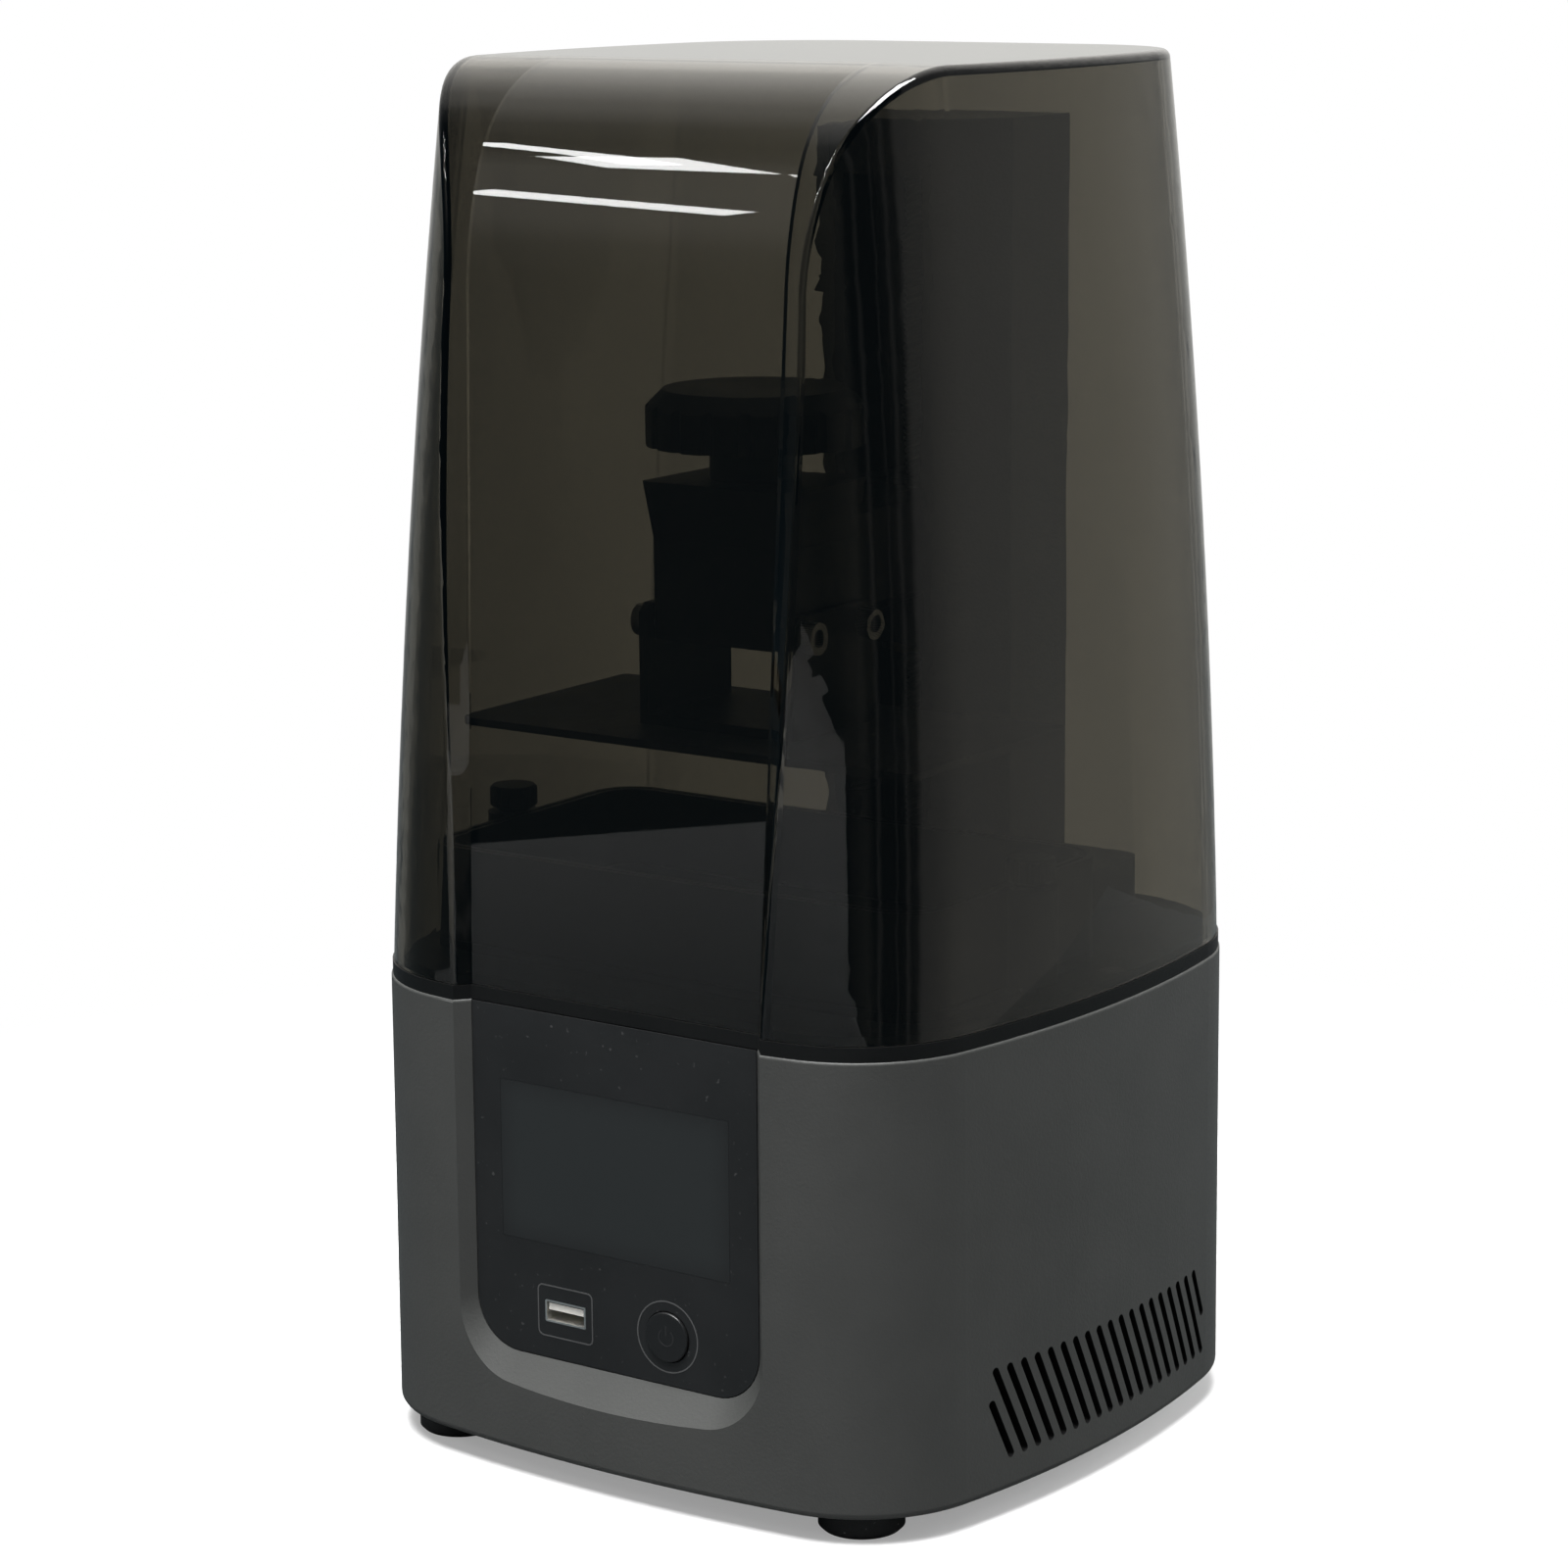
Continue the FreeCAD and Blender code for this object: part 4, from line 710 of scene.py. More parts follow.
@dataclass
class FrontPanel:
    """Black panel with its screen, socket, button and printed lines.

    The bar's lift and length are shares of the symbol's radius. The contacts' reach is the share of their
    length from the tongue's tip to their middle, and their rounding a share of their height.
    """

    face_y: float = -0.092
    print_height: float = 0.00006
    print_line: float = 0.0004
    usb_centre: Flat = (-0.0173, 0.0478)
    usb_frame: Flat = (0.0190, 0.0150)
    usb_frame_corner: float = 0.0018
    usb_frame_steps: int = 6
    button_centre: Flat = (0.0175, 0.0480)
    button_face_y: float = -0.0928
    ring_radius: float = 0.0102
    ring_steps: int = 96
    symbol_radius: float = 0.0026
    symbol_steps: int = 72
    symbol_gap: float = math.radians(38.0)
    bar_lift: float = 0.75
    bar_length: float = 1.1
    contact: Tuple[float, float, float] = (0.0010, 0.0070, 0.0002)
    contact_count: int = 4
    contact_pitch: float = 0.0024
    contact_reach: float = 0.62
    contact_round: float = 0.4
    black: Finish = OpaqueFinish("panel_black", (0.013, 0.0135, 0.014), 0.36, size=0.0012, depth=0.000006,
                                 shade=0.12, dust=0.10)
    button_black: Finish = OpaqueFinish("button_black", (0.010, 0.0105, 0.011), 0.32, size=0.0008,
                                        depth=0.000006)
    glass: Finish = ScreenFinish("touch_glass", (0.013, 0.0135, 0.014), (0.0190, 0.0216, 0.0222),
                                 (-0.0375, 0.0375), (0.0682, 0.1108), 0.36, 0.0065)
    steel: Finish = OpaqueFinish("socket_steel", (0.86, 0.85, 0.82), 0.42, 1.0, Grain.BRUSHED, 0.0005,
                                 0.000004, along=Axis.Y)
    tongue: Finish = OpaqueFinish("socket_tongue", (0.70, 0.69, 0.65), 0.45, size=0.0005)
    gold: Finish = OpaqueFinish("contact_gold", (0.80, 0.58, 0.25), 0.25, 1.0, Grain.BRUSHED, 0.0003,
                                0.000003, along=Axis.Y)
    ink: Finish = OpaqueFinish("printed_grey", (0.070, 0.072, 0.073), 0.55, size=0.0004, depth=0.000004)
    faint_ink: Finish = OpaqueFinish("printed_dark_grey", (0.020, 0.0205, 0.0215), 0.5, size=0.0004,
                                     depth=0.000004)

    def dress(self) -> None:
        """Dress the panel's nodes."""
        Wardrobe.dress(self.black, "front_panel")
        Wardrobe.dress(self.glass, "touch_screen")
        Wardrobe.dress(self.button_black, "power_button")
        Wardrobe.dress(self.steel, "usb_socket")
        Wardrobe.dress(self.tongue, "usb_tongue")

    def rim(self) -> bpy.types.Object:
        """Keep only a line along the edge of the selected face.

        Returns:
            The line.
        """
        bpy.ops.mesh.inset(thickness=self.print_line)
        bpy.ops.mesh.delete(type="FACE")
        return Bench.settle()

    def inked(self, piece: bpy.types.Object, y: float) -> bpy.types.Object:
        """Give the active flat piece the thickness of ink, on a face.

        Args:
            piece: The active piece.
            y: Face that the ink lies on.

        Returns:
            The piece.
        """
        Bench.apply("SOLIDIFY", thickness=self.print_height, offset=-1.0)
        piece.data.transform(Matrix.Translation((0.0, y - self.print_height, 0.0)))
        return piece

    def usb_outline(self) -> None:
        """Model the printed frame round the socket."""
        Bench.clear()
        x, z = self.usb_centre
        bpy.ops.mesh.primitive_plane_add(size=1.0, location=(x, 0.0, z), rotation=UPRIGHT)
        Bench.sized((*self.usb_frame, 1.0))
        Bench.edit("VERT")
        bpy.ops.mesh.bevel(offset=self.usb_frame_corner, segments=self.usb_frame_steps, affect="VERTICES")
        bpy.ops.mesh.select_mode(type="FACE")
        bpy.ops.mesh.select_all(action="SELECT")
        ink = self.inked(self.rim(), self.face_y)
        Bench.hand_over(ink, "usb_outline", "base", self.ink, "tongue_white")

    def power_ring(self) -> None:
        """Model the printed ring round the button."""
        Bench.clear()
        x, z = self.button_centre
        bpy.ops.mesh.primitive_circle_add(vertices=self.ring_steps, radius=self.ring_radius, fill_type="NGON",
                                          location=(x, 0.0, z), rotation=UPRIGHT)
        Bench.edit()
        ink = self.inked(self.rim(), self.face_y)
        Bench.hand_over(ink, "button_ring", "base", self.ink, "tongue_white")

    def power_symbol(self) -> None:
        """Model the open circle and bar printed on the button."""
        Bench.clear()
        x, z = self.button_centre
        bpy.ops.mesh.primitive_circle_add(vertices=self.symbol_steps, radius=self.symbol_radius,
                                          fill_type="NGON", location=(x, 0.0, z), rotation=UPRIGHT)
        Bench.edit()
        circle = self.rim()
        Bench.pick("FACE", lambda middle: abs(math.atan2(middle.x - x, middle.z - z)) < self.symbol_gap)
        bpy.ops.mesh.delete(type="FACE")
        bpy.ops.object.mode_set(mode="OBJECT")
        Bench.clear()
        bar_z = z + self.symbol_radius * self.bar_lift
        bpy.ops.mesh.primitive_plane_add(size=1.0, location=(x, 0.0, bar_z), rotation=UPRIGHT)
        Bench.sized((self.print_line, self.symbol_radius * self.bar_length, 1.0))
        Bench.edit("VERT")
        bpy.ops.mesh.bevel(offset=self.print_line / 3, segments=2, affect="VERTICES")
        bar = Bench.settle()
        ink = self.inked(Bench.join([circle, bar]), self.button_face_y)
        Bench.hand_over(ink, "button_symbol", "button", self.faint_ink, "button_black")

    def usb_contacts(self) -> None:
        """Model the four spring contacts under the socket's tongue."""
        Bench.clear()
        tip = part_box("usb_tongue")[0]
        _, length, height = self.contact
        middle = (0.0, tip.y + length * self.contact_reach, tip.z - height / 2)
        bpy.ops.mesh.primitive_cube_add(size=1.0, location=middle)
        Bench.sized(self.contact)
        Bench.edit("EDGE")
        bpy.ops.mesh.bevel(offset=height * self.contact_round, segments=2)
        first = Bench.settle()
        pads = [first]
        while len(pads) < self.contact_count:
            pad = first.copy()
            pad.data = first.data.copy()
            bpy.context.scene.collection.objects.link(pad)
            pads.append(pad)
        for number, pad in enumerate(pads):
            aside = (number - (self.contact_count - 1) / 2) * self.contact_pitch
            pad.data.transform(Matrix.Translation((self.usb_centre[0] + aside, 0.0, 0.0)))
        Bench.hand_over(Bench.join(pads), "usb_contacts", "base", self.gold, "nut_brass")

    def build(self) -> None:
        """Dress the nodes and model the printed lines and contacts."""
        self.dress()
        self.usb_outline()
        self.power_ring()
        self.power_symbol()
        self.usb_contacts()


@dataclass
class Tower:
    """Column with its rail, motor and the threaded screw."""

    lead: float = 0.008
    starts: int = 4
    crest_radius: float = 0.00398
    root_radius: float = 0.0031
    turn_steps: int = 28
    weld: float = 0.00001
    coat: Finish = OpaqueFinish("tower_powder_coat", (0.020, 0.021, 0.021), 0.5, grain=Grain.PEEL,
                                size=0.0009, depth=0.00003)
    plinth_coat: Finish = OpaqueFinish("plinth_satin", (0.024, 0.025, 0.025), 0.48, size=0.0008,
                                       depth=0.00001)
    steel: Finish = OpaqueFinish("ground_steel", (0.55, 0.55, 0.56), 0.28, 1.0, Grain.BRUSHED, 0.0005,
                                 0.000005)
    thread_steel: Finish = OpaqueFinish("rolled_thread_steel", (0.30, 0.30, 0.31), 0.36, 1.0, Grain.BRUSHED,
                                        0.0006, 0.000005)
    bronze: Finish = OpaqueFinish("turned_bronze", (0.17, 0.125, 0.062), 0.34, 1.0, Grain.TURNED, 0.0004,
                                  0.000006, centre=(0.0, 0.062, 0.0))
    bright: Finish = OpaqueFinish("bright_aluminium", (0.58, 0.59, 0.60), 0.34, 1.0, Grain.TURNED, 0.0005,
                                  0.000006, centre=(0.0, 0.062, 0.0))
    motor: Finish = OpaqueFinish("motor_black", (0.022, 0.022, 0.024), 0.42, 0.2, Grain.PEEL, 0.0008, 0.00002)
    switch: Finish = OpaqueFinish("switch_black", (0.014, 0.014, 0.015), 0.5)

    def dress(self) -> None:
        """Dress the tower's nodes."""
        Wardrobe.dress(self.coat, "tower_column", "tower_cap")
        Wardrobe.dress(self.plinth_coat, "tower_plinth")
        Wardrobe.dress(self.steel, "linear_rail", "rail_carriage", "top_bearing", "motor_shaft")
        Wardrobe.dress(self.bronze, "screw_nut")
        Wardrobe.dress(self.bright, "shaft_coupling")
        Wardrobe.dress(self.motor, "z_motor")
        Wardrobe.dress(self.switch, "limit_switch")

    def thread(self) -> None:
        """Model the lead screw with its thread, cut flat at both ends."""
        Bench.clear()
        low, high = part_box("lead_screw")
        length = high.z - low.z
        turns = math.ceil(length / self.lead) + 2
        bpy.ops.mesh.primitive_plane_add(size=self.lead, location=(self.root_radius, 0.0, -self.lead / 2),
                                         rotation=(0.0, math.pi / 2, 0.0))
        profile = Bench.settle()
        Bench.pick("VERT", lambda middle: middle.y > 0.0)
        bpy.ops.mesh.delete(type="VERT")
        bpy.ops.mesh.select_all(action="SELECT")
        bpy.ops.mesh.subdivide(number_cuts=4 * self.starts - 1)
        bpy.ops.object.mode_set(mode="OBJECT")
        share = self.lead / (4 * self.starts)
        for vertex in profile.data.vertices:
            step = round((vertex.co.z + self.lead) / share) % 4
            vertex.co.x = self.crest_radius if step in (1, 2) else self.root_radius
            vertex.co.y = 0.0
        Bench.apply("SCREW", axis="Z", angle=math.tau, screw_offset=self.lead, iterations=turns,
                    steps=self.turn_steps, render_steps=self.turn_steps, use_merge_vertices=True,
                    merge_threshold=self.weld, use_normal_calculate=True)
        for height, way in ((0.0, -1.0), (length, 1.0)):
            Bench.edit()
            bpy.ops.mesh.bisect(plane_co=(0.0, 0.0, height), plane_no=(0.0, 0.0, way), use_fill=True,
                                clear_outer=True)
        bpy.ops.mesh.select_all(action="SELECT")
        bpy.ops.mesh.normals_make_consistent(inside=False)
        bpy.ops.object.mode_set(mode="OBJECT")
        profile.data.transform(Matrix.Translation((0.0, (low.y + high.y) / 2, low.z)))
        piece = Bench.hand_over(profile, "lead_screw_thread", "screw", self.thread_steel, "bright_steel")
        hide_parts("lead_screw")

    def build(self) -> None:
        """Dress the nodes and model the thread."""
        self.dress()
        self.thread()


@dataclass
class LiftHead:
    """Arm, head block, clamp knob and build plate."""

    anodised: Finish = OpaqueFinish("black_anodised", (0.006, 0.0065, 0.0075), 0.45, 0.0, Grain.SANDED,
                                    0.0006, 0.000008, shine=0.3)
    knob: Finish = OpaqueFinish("knob_black", (0.006, 0.0065, 0.0075), 0.45, size=0.0007, depth=0.00001,
                                shine=0.3)
    plate: Finish = OpaqueFinish("sanded_plate", (0.020, 0.021, 0.024), 0.5, 0.0, Grain.SANDED, 0.0007,
                                 0.00001, shine=0.4)
    screw: Finish = OpaqueFinish("polished_screw", (0.30, 0.30, 0.30), 0.30, 1.0, Grain.TURNED, 0.0004,
                                 0.000005, along=Axis.X)

    def dress(self) -> None:
        """Dress the head's nodes."""
        Wardrobe.dress(self.anodised, "arm", "head_block", "plate_bracket")
        Wardrobe.dress(self.knob, "clamp_knob", "left_thumb_screw", "right_thumb_screw")
        Wardrobe.dress(self.plate, "build_plate")
        Wardrobe.dress(self.screw, "level_screws")


@dataclass
class VatAndLight:
    """Vat with its film, the light mask and the light source under it."""

    vat: Finish = OpaqueFinish("vat_anodised", (0.010, 0.011, 0.013), 0.45, 0.0, Grain.SANDED, 0.0006,
                               0.000008, shine=0.35)
    frame: Finish = OpaqueFinish("film_frame_black", (0.055, 0.056, 0.058), 0.42, 1.0, Grain.BRUSHED, 0.0006,
                                 0.000006, along=Axis.X)
    film: Finish = ClearFinish("release_film", (0.86, 0.88, 0.90), 0.06, 1.34)
    mask: Finish = ScreenFinish("mask_glass", (0.010, 0.011, 0.013), (0.016, 0.018, 0.026), (-0.0710, 0.0710),
                                (0.10, 0.20), 0.12)
    hood: Finish = OpaqueFinish("hood_black", (0.016, 0.016, 0.017), 0.6)
    lens: Finish = ClearFinish("lens_clear", (0.92, 0.93, 0.94), 0.01, 1.49)
    emitter: Finish = OpaqueFinish("emitter_yellow", (0.72, 0.62, 0.25), 0.35, size=0.0005)
    sink: Finish = OpaqueFinish("sink_aluminium", (0.55, 0.56, 0.57), 0.42, 1.0, Grain.BRUSHED, 0.0007,
                                0.00001, along=Axis.X)
    board: Finish = BoardFinish("light_board", (0.60, 0.62, 0.60), (0.45, 0.46, 0.42))

    def dress(self) -> None:
        """Dress the vat's and the light source's nodes."""
        Wardrobe.dress(self.vat, "vat")
        Wardrobe.dress(self.frame, "film_frame")
        Wardrobe.dress(self.film, "vat_film")
        Wardrobe.dress(self.mask, "mask_screen")
        Wardrobe.dress(self.hood, "light_hood")
        Wardrobe.dress(self.lens, "lens_plate")
        Wardrobe.dress(self.emitter, "light_emitters")
        Wardrobe.dress(self.sink, "heat_sink")
        Wardrobe.dress(self.board, "light_board")


@dataclass
class Electronics:
    """Boards, fan and power inlet in the housing."""

    board: Finish = BoardFinish("green_board", (0.012, 0.075, 0.035), (0.05, 0.16, 0.07))
    post: Finish = OpaqueFinish("brass_post", (0.66, 0.50, 0.22), 0.32, 1.0, Grain.BRUSHED, 0.0004, 0.000005)
    fan: Finish = OpaqueFinish("fan_black", (0.013, 0.013, 0.014), 0.5, size=0.0007)
    inlet: Finish = OpaqueFinish("inlet_black", (0.011, 0.011, 0.012), 0.42, size=0.0006)

    def dress(self) -> None:
        """Dress the electronics."""
        Wardrobe.dress(self.board, "mainboard", "button_board")
        Wardrobe.dress(self.post, "board_posts")
        Wardrobe.dress(self.fan, "fan_frame", "fan_rotor")
        Wardrobe.dress(self.inlet, "power_inlet")


@dataclass(frozen=True)
class Lamp:
    """A soft rectangular light, given by the ends of its middle line."""

    name: str
    start: Point
    end: Point
    height: float
    aim: Point
    radiance: float
    mirrored: bool = True

    def hang(self) -> None:
        """Make the light at its place, facing its aim."""
        start, end = Vector(self.start), Vector(self.end)
        centre = (start + end) / 2
        along = (end - start).normalized()
        away = centre - Vector(self.aim)
        away = (away - along * away.dot(along)).normalized()
        across = away.cross(along)
        data = bpy.data.lights.new(self.name, "AREA")
        data.shape = "RECTANGLE"
        data.size = (end - start).length
        data.size_y = self.height
        data.energy = self.radiance * math.pi * data.size * data.size_y
        lamp = bpy.data.objects.new(self.name, data)
        bpy.context.scene.collection.objects.link(lamp)
        lamp.matrix_world = Matrix.Translation(centre) @ Matrix((along, across, away)).transposed().to_4x4()
        lamp.visible_camera = False
        lamp.visible_transmission = False
        lamp.visible_glossy = self.mirrored
        LOG.info("hung %s", self.name)


class Backdrop:
    """World round the object, with its own light for each kind of ray."""

    def __init__(self) -> None:
        """Start an empty world."""
        world = bpy.data.worlds.new("studio")
        bpy.context.scene.world = world
        world.use_nodes = True
        self.tree = world.node_tree
        self.tree.nodes.clear()
        self.output = self.tree.nodes.new("ShaderNodeOutputWorld")
        self.path = self.tree.nodes.new("ShaderNodeLightPath")
        self.way = self.tree.nodes.new("ShaderNodeTexCoord").outputs["Generated"]

    def graded(self, axis: Point, stops: Stops, tint: Colour = (1.0, 1.0, 1.0)) -> bpy.types.NodeSocket:
        """Brightness that follows how far a direction leans towards an axis.

        Args:
            axis: The axis, of length 1.
            stops: Pairs of a lean from -1 to 1 and the brightness there.
            tint: Colour of the light.

        Returns:
            The brightness.
        """
        lean = self.tree.nodes.new("ShaderNodeVectorMath")
        lean.operation = "DOT_PRODUCT"
        lean.inputs[1].default_value = axis
        self.tree.links.new(self.way, lean.inputs[0])
        share = self.tree.nodes.new("ShaderNodeMapRange")
        share.inputs["From Min"].default_value = -1.0
        self.tree.links.new(lean.outputs["Value"], share.inputs["Value"])
        ramp = self.tree.nodes.new("ShaderNodeValToRGB")
        while len(ramp.color_ramp.elements) < len(stops):
            ramp.color_ramp.elements.new(0.5)
        for element, (place, level) in zip(ramp.color_ramp.elements, stops):
            element.position = (place + 1.0) / 2
            element.color = (*[level * part for part in tint], 1.0)
        self.tree.links.new(share.outputs["Result"], ramp.inputs["Fac"])
        return ramp.outputs["Color"]

    def joined(self, kind: str, first: bpy.types.NodeSocket,
               second: bpy.types.NodeSocket) -> bpy.types.NodeSocket:
        """Two brightnesses as one.

        Args:
            kind: Name of the operation.
            first: First brightness.
            second: Second brightness.

        Returns:
            The result.
        """
        node = self.tree.nodes.new("ShaderNodeVectorMath")
        node.operation = kind
        self.tree.links.new(first, node.inputs[0])
        self.tree.links.new(second, node.inputs[1])
        return node.outputs["Vector"]

    def light(self, strength: float, colour: Optional[bpy.types.NodeSocket] = None) -> bpy.types.NodeSocket:
        """One light of the world.

        Args:
            strength: Its strength.
            colour: Its brightness by direction, or none for an even white.

        Returns:
            The shader socket.
        """
        node = self.tree.nodes.new("ShaderNodeBackground")
        node.inputs["Color"].default_value = (1.0, 1.0, 1.0, 1.0)
        node.inputs["Strength"].default_value = strength
        if colour:
            self.tree.links.new(colour, node.inputs["Color"])
        return node.outputs["Background"]

    def choose(self, ray: str, other: bpy.types.NodeSocket,
               own: bpy.types.NodeSocket) -> bpy.types.NodeSocket:
        """Give one kind of ray its own light.

        Args:
            ray: Name of the light path's output.
            other: Light for the other rays.
            own: Light for these rays.

        Returns:
            The shader socket.
        """
        node = self.tree.nodes.new("ShaderNodeMixShader")
        self.tree.links.new(self.path.outputs[ray], node.inputs[0])
        self.tree.links.new(other, node.inputs[1])
        self.tree.links.new(own, node.inputs[2])
        return node.outputs["Shader"]


@dataclass
class Studio:
    """Floor, backdrop, lamps and camera.

    The table is what glossy surfaces mirror of the floor: it grows lighter with the distance from the object.
    The stops of the backdrop are pairs of a lean towards their axis and the brightness there.
    """

    focal_pixels: float = 4312.4
    image_pixels: float = 1600.0
    sensor: float = 36.0
    yaw: float = 0.607
    pitch: float = 0.209
    roll: float = -0.008
    shift_right: float = -0.005302
    shift_up: float = -0.017286
    distance: float = 1.19425
    aim_height: float = 0.2
    floor_outline: Tuple[Flat, ...] = ((-0.60, 0.70), (0.60, 0.70), (0.57, -1.06), (1.45, -2.70),
                                       (1.05, -3.30), (0.05, -4.15), (-0.78, -1.01), (-0.60, -0.45))
    floor_level: float = -0.0002
    floor_fade: Range = (0.20, 0.52)
    floor_least_white: float = 0.3
    floor_pale: Colour = (0.90, 0.90, 0.90)
    floor_bounce: Colour = (0.20, 0.20, 0.20)
    floor_roughness: float = 0.7
    table_rise: float = 0.195
    table_drop: float = 0.10
    table_near: Colour = (0.0, 0.008, 0.012)
    table_far: Colour = (0.98, 1.0, 1.0)
    ambient: float = 0.22
    room_level: float = 0.055
    room_tint: Colour = (0.55, 0.95, 1.20)
    mirror_tint: Colour = (1.0, 0.965, 0.91)
    ceiling_axis: Point = (-0.349, 0.648, 0.677)
    ceiling: Stops = ((0.22, 0.0), (0.37, 0.03), (0.53, 0.15), (0.70, 0.66), (0.76, 0.72), (0.95, 1.45))
    window_axis: Point = (0.0, 1.0, 0.0)
    window: Stops = ((-0.66, 0.0), (-0.63, 0.12), (-0.60, 0.0), (-0.47, 0.0), (-0.45, 0.08), (-0.43, 0.0),
                     (-0.35, 0.0), (-0.31, 0.12), (-0.27, 0.0), (-0.20, 0.0), (-0.13, 0.235), (0.70, 0.25),
                     (0.88, 0.13), (1.0, 0.13))
    window_side_axis: Point = (1.0, 0.0, 0.0)
    window_side: Stops = ((0.0, 0.0), (0.22, 1.0))
    glow_axis: Point = (-0.60, -0.70, 0.39)
    glow: Stops = ((0.94, 0.0), (0.975, 0.07), (0.995, 0.40))
    wall_axis: Point = (0.807, 0.555, 0.202)
    wall: Stops = ((-0.48, 0.32), (-0.36, 0.11), (-0.16, 0.22), (-0.13, 0.30), (-0.10, 0.37), (-0.08, 0.48),
                   (0.04, 0.66), (0.065, 0.84), (0.12, 0.84), (0.20, 0.25), (0.50, 0.25), (0.75, 0.80),
                   (1.0, 0.90))
    wall_front: Stops = ((0.0, 0.45), (0.4, 1.0))
    lamps: List[Lamp] = field(default_factory=lambda: [
        Lamp("overhead_box", (-0.7, -0.45, 2.4), (0.75, -0.45, 2.4), 1.6, (0.0, -0.45, 0.0), 25.5),
        Lamp("rear_window", (0.3, 3.0, 0.7), (1.7, 2.7, 0.7), 1.2, (0.1, 0.1, 0.1), 16.0, False),
        Lamp("upper_strip", (-1.93, -1.53, 2.19), (-1.76, -1.876, 1.945), 0.06, ROLL_OVER, 18.0),
        Lamp("upper_strip_end", (-1.80, -1.79, 2.005), (-1.59, -2.22, 1.70), 0.15, ROLL_OVER, 18.0),
        Lamp("lower_strip", (-1.93, -2.17, 1.40), (-1.695, -2.33, 1.325), 0.07, ROLL_OVER, 18.0),
    ])

    def lay_floor(self) -> None:
        """Make the pale floor, which fades to the backdrop's white away from the object."""
        Bench.clear()
        bpy.ops.mesh.primitive_circle_add(vertices=len(self.floor_outline), fill_type="NGON")
        floor = bpy.context.object
        for vertex, place in zip(floor.data.vertices, self.floor_outline):
            vertex.co = (*place, self.floor_level)
        Bench.edit()
        bpy.ops.mesh.quads_convert_to_tris()
        Bench.settle()
        floor.name = "studio_floor"
        sheet = NodeSheet("studio_floor")
        path = sheet.tree.nodes.new("ShaderNodeLightPath")
        looked = path.outputs["Is Camera Ray"]
        reach = sheet.tree.nodes.new("ShaderNodeVectorMath")
        reach.operation = "LENGTH"
        sheet.feed(reach.inputs[0], sheet.place)
        fade = sheet.spread(reach.outputs["Value"], *self.floor_fade, self.floor_least_white)
        white = sheet.math("MULTIPLY", looked, fade)
        rise = sheet.math("MULTIPLY", reach.outputs["Value"], self.table_rise)
        far = sheet.math("SUBTRACT", rise, self.table_drop)
        table = sheet.blend(far, self.table_near, self.table_far)
        bounce = sheet.blend(looked, self.floor_bounce, self.floor_pale)
        sheet.put("Base Color", sheet.blend(path.outputs["Is Glossy Ray"], bounce, table))
        sheet.put("Roughness", self.floor_roughness)
        glow = sheet.tree.nodes.new("ShaderNodeEmission")
        mix = sheet.tree.nodes.new("ShaderNodeMixShader")
        sheet.feed(mix.inputs[0], white)
        sheet.feed(mix.inputs[1], sheet.shader.outputs["BSDF"])
        sheet.feed(mix.inputs[2], glow.outputs["Emission"])
        sheet.feed(sheet.output.inputs["Surface"], mix.outputs["Shader"])
        floor.data.materials.append(sheet.material)
        floor.visible_transmission = False

    def hang_backdrop(self) -> None:
        """Make the world: white to the camera, other light for what is mirrored or seen through."""
        drop = Backdrop()
        mirrored = drop.graded(self.ceiling_axis, ((-1.0, self.room_level), (1.0, self.room_level)),
                               self.room_tint)
        for axis, stops in ((self.ceiling_axis, self.ceiling), (self.glow_axis, self.glow)):
            mirrored = drop.joined("ADD", mirrored, drop.graded(axis, stops, self.mirror_tint))
        window = drop.joined("MULTIPLY", drop.graded(self.window_axis, self.window, self.mirror_tint),
                             drop.graded(self.window_side_axis, self.window_side))
        mirrored = drop.joined("ADD", mirrored, window)
        light = drop.choose("Is Glossy Ray", drop.light(self.ambient), drop.light(1.0, mirrored))
        behind = drop.joined("MULTIPLY", drop.graded(self.wall_axis, self.wall),
                             drop.graded(self.window_axis, self.wall_front))
        light = drop.choose("Is Transmission Ray", light, drop.light(1.0, behind))
        light = drop.choose("Is Camera Ray", light, drop.light(1.0))
        drop.tree.links.new(light, drop.output.inputs["Surface"])

    def set_camera(self) -> None:
        """Place the camera at the photograph's viewpoint."""
        back = Vector((math.sin(self.yaw) * math.cos(self.pitch), -math.cos(self.yaw) * math.cos(self.pitch),
                       math.sin(self.pitch)))
        side = Vector((math.cos(self.yaw), math.sin(self.yaw), 0.0))
        top = back.cross(side)
        right = side * math.cos(self.roll) + top * math.sin(self.roll)
        up = top * math.cos(self.roll) - side * math.sin(self.roll)
        place = back * self.distance + right * self.shift_right + up * self.shift_up
        place += Vector((0.0, 0.0, self.aim_height))
        data = bpy.data.cameras.new("photo_camera")
        data.sensor_width = self.sensor
        data.lens = self.focal_pixels / self.image_pixels * self.sensor
        camera = bpy.data.objects.new("photo_camera", data)
        bpy.context.scene.collection.objects.link(camera)
        camera.matrix_world = Matrix(((right.x, up.x, back.x, place.x), (right.y, up.y, back.y, place.y),
                                      (right.z, up.z, back.z, place.z), (0.0, 0.0, 0.0, 1.0)))
        bpy.context.scene.camera = camera

    def build(self) -> None:
        """Make the whole studio."""
        self.lay_floor()
        self.hang_backdrop()
        for lamp in self.lamps:
            lamp.hang()
        self.set_camera()
        bpy.context.scene.view_settings.view_transform = "Standard"


def main() -> None:
    """Build the sub-assemblies and the studio in order."""
    logging.basicConfig(level=logging.INFO, format="%(message)s")
    Studio().build()
    Housing().dress()
    Cover().dress()
    FrontPanel().build()
    Tower().build()
    LiftHead().dress()
    VatAndLight().dress()
    Electronics().dress()


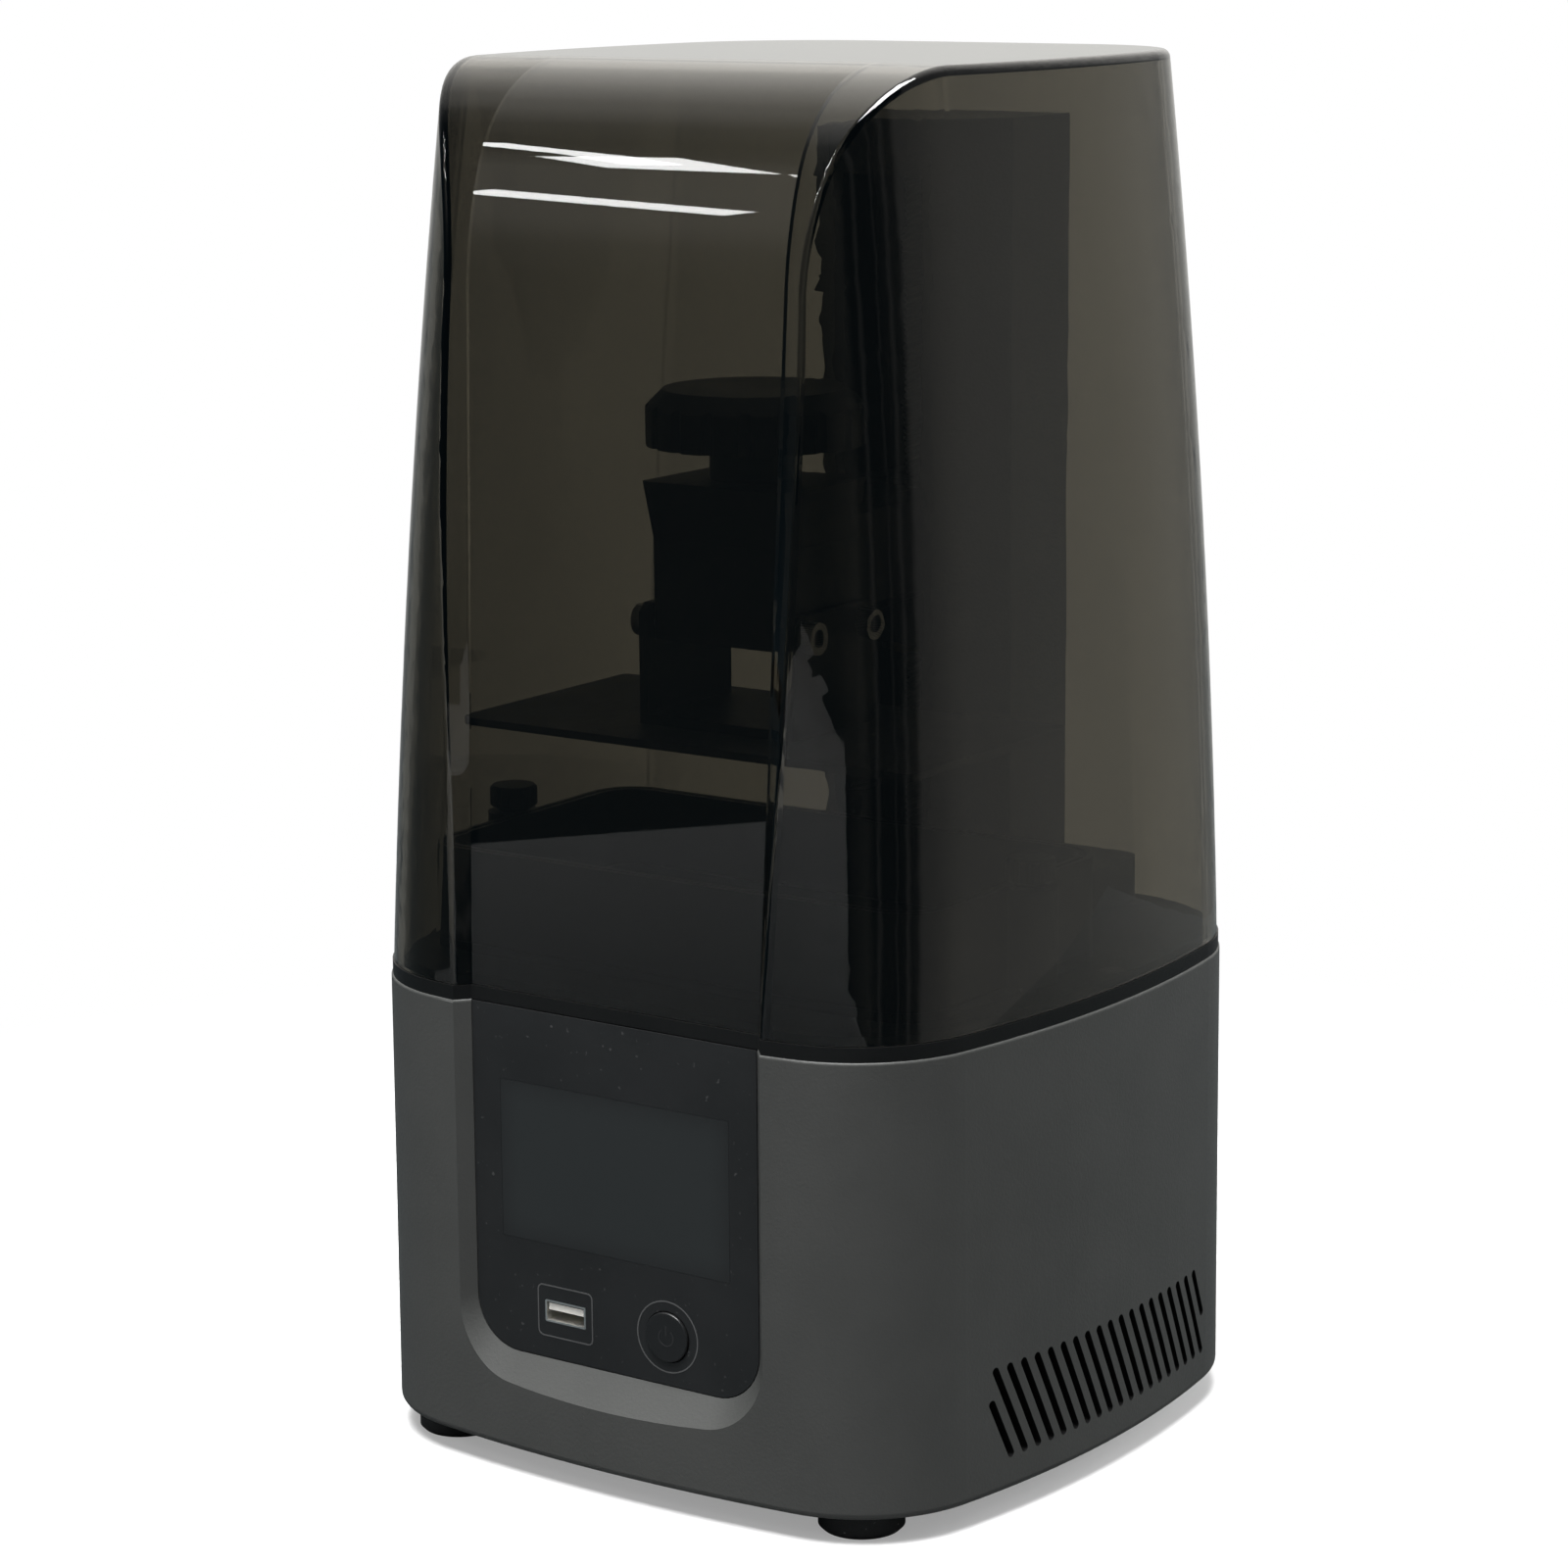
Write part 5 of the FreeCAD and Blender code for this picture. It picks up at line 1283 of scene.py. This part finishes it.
if __name__ == "__main__":
    main()
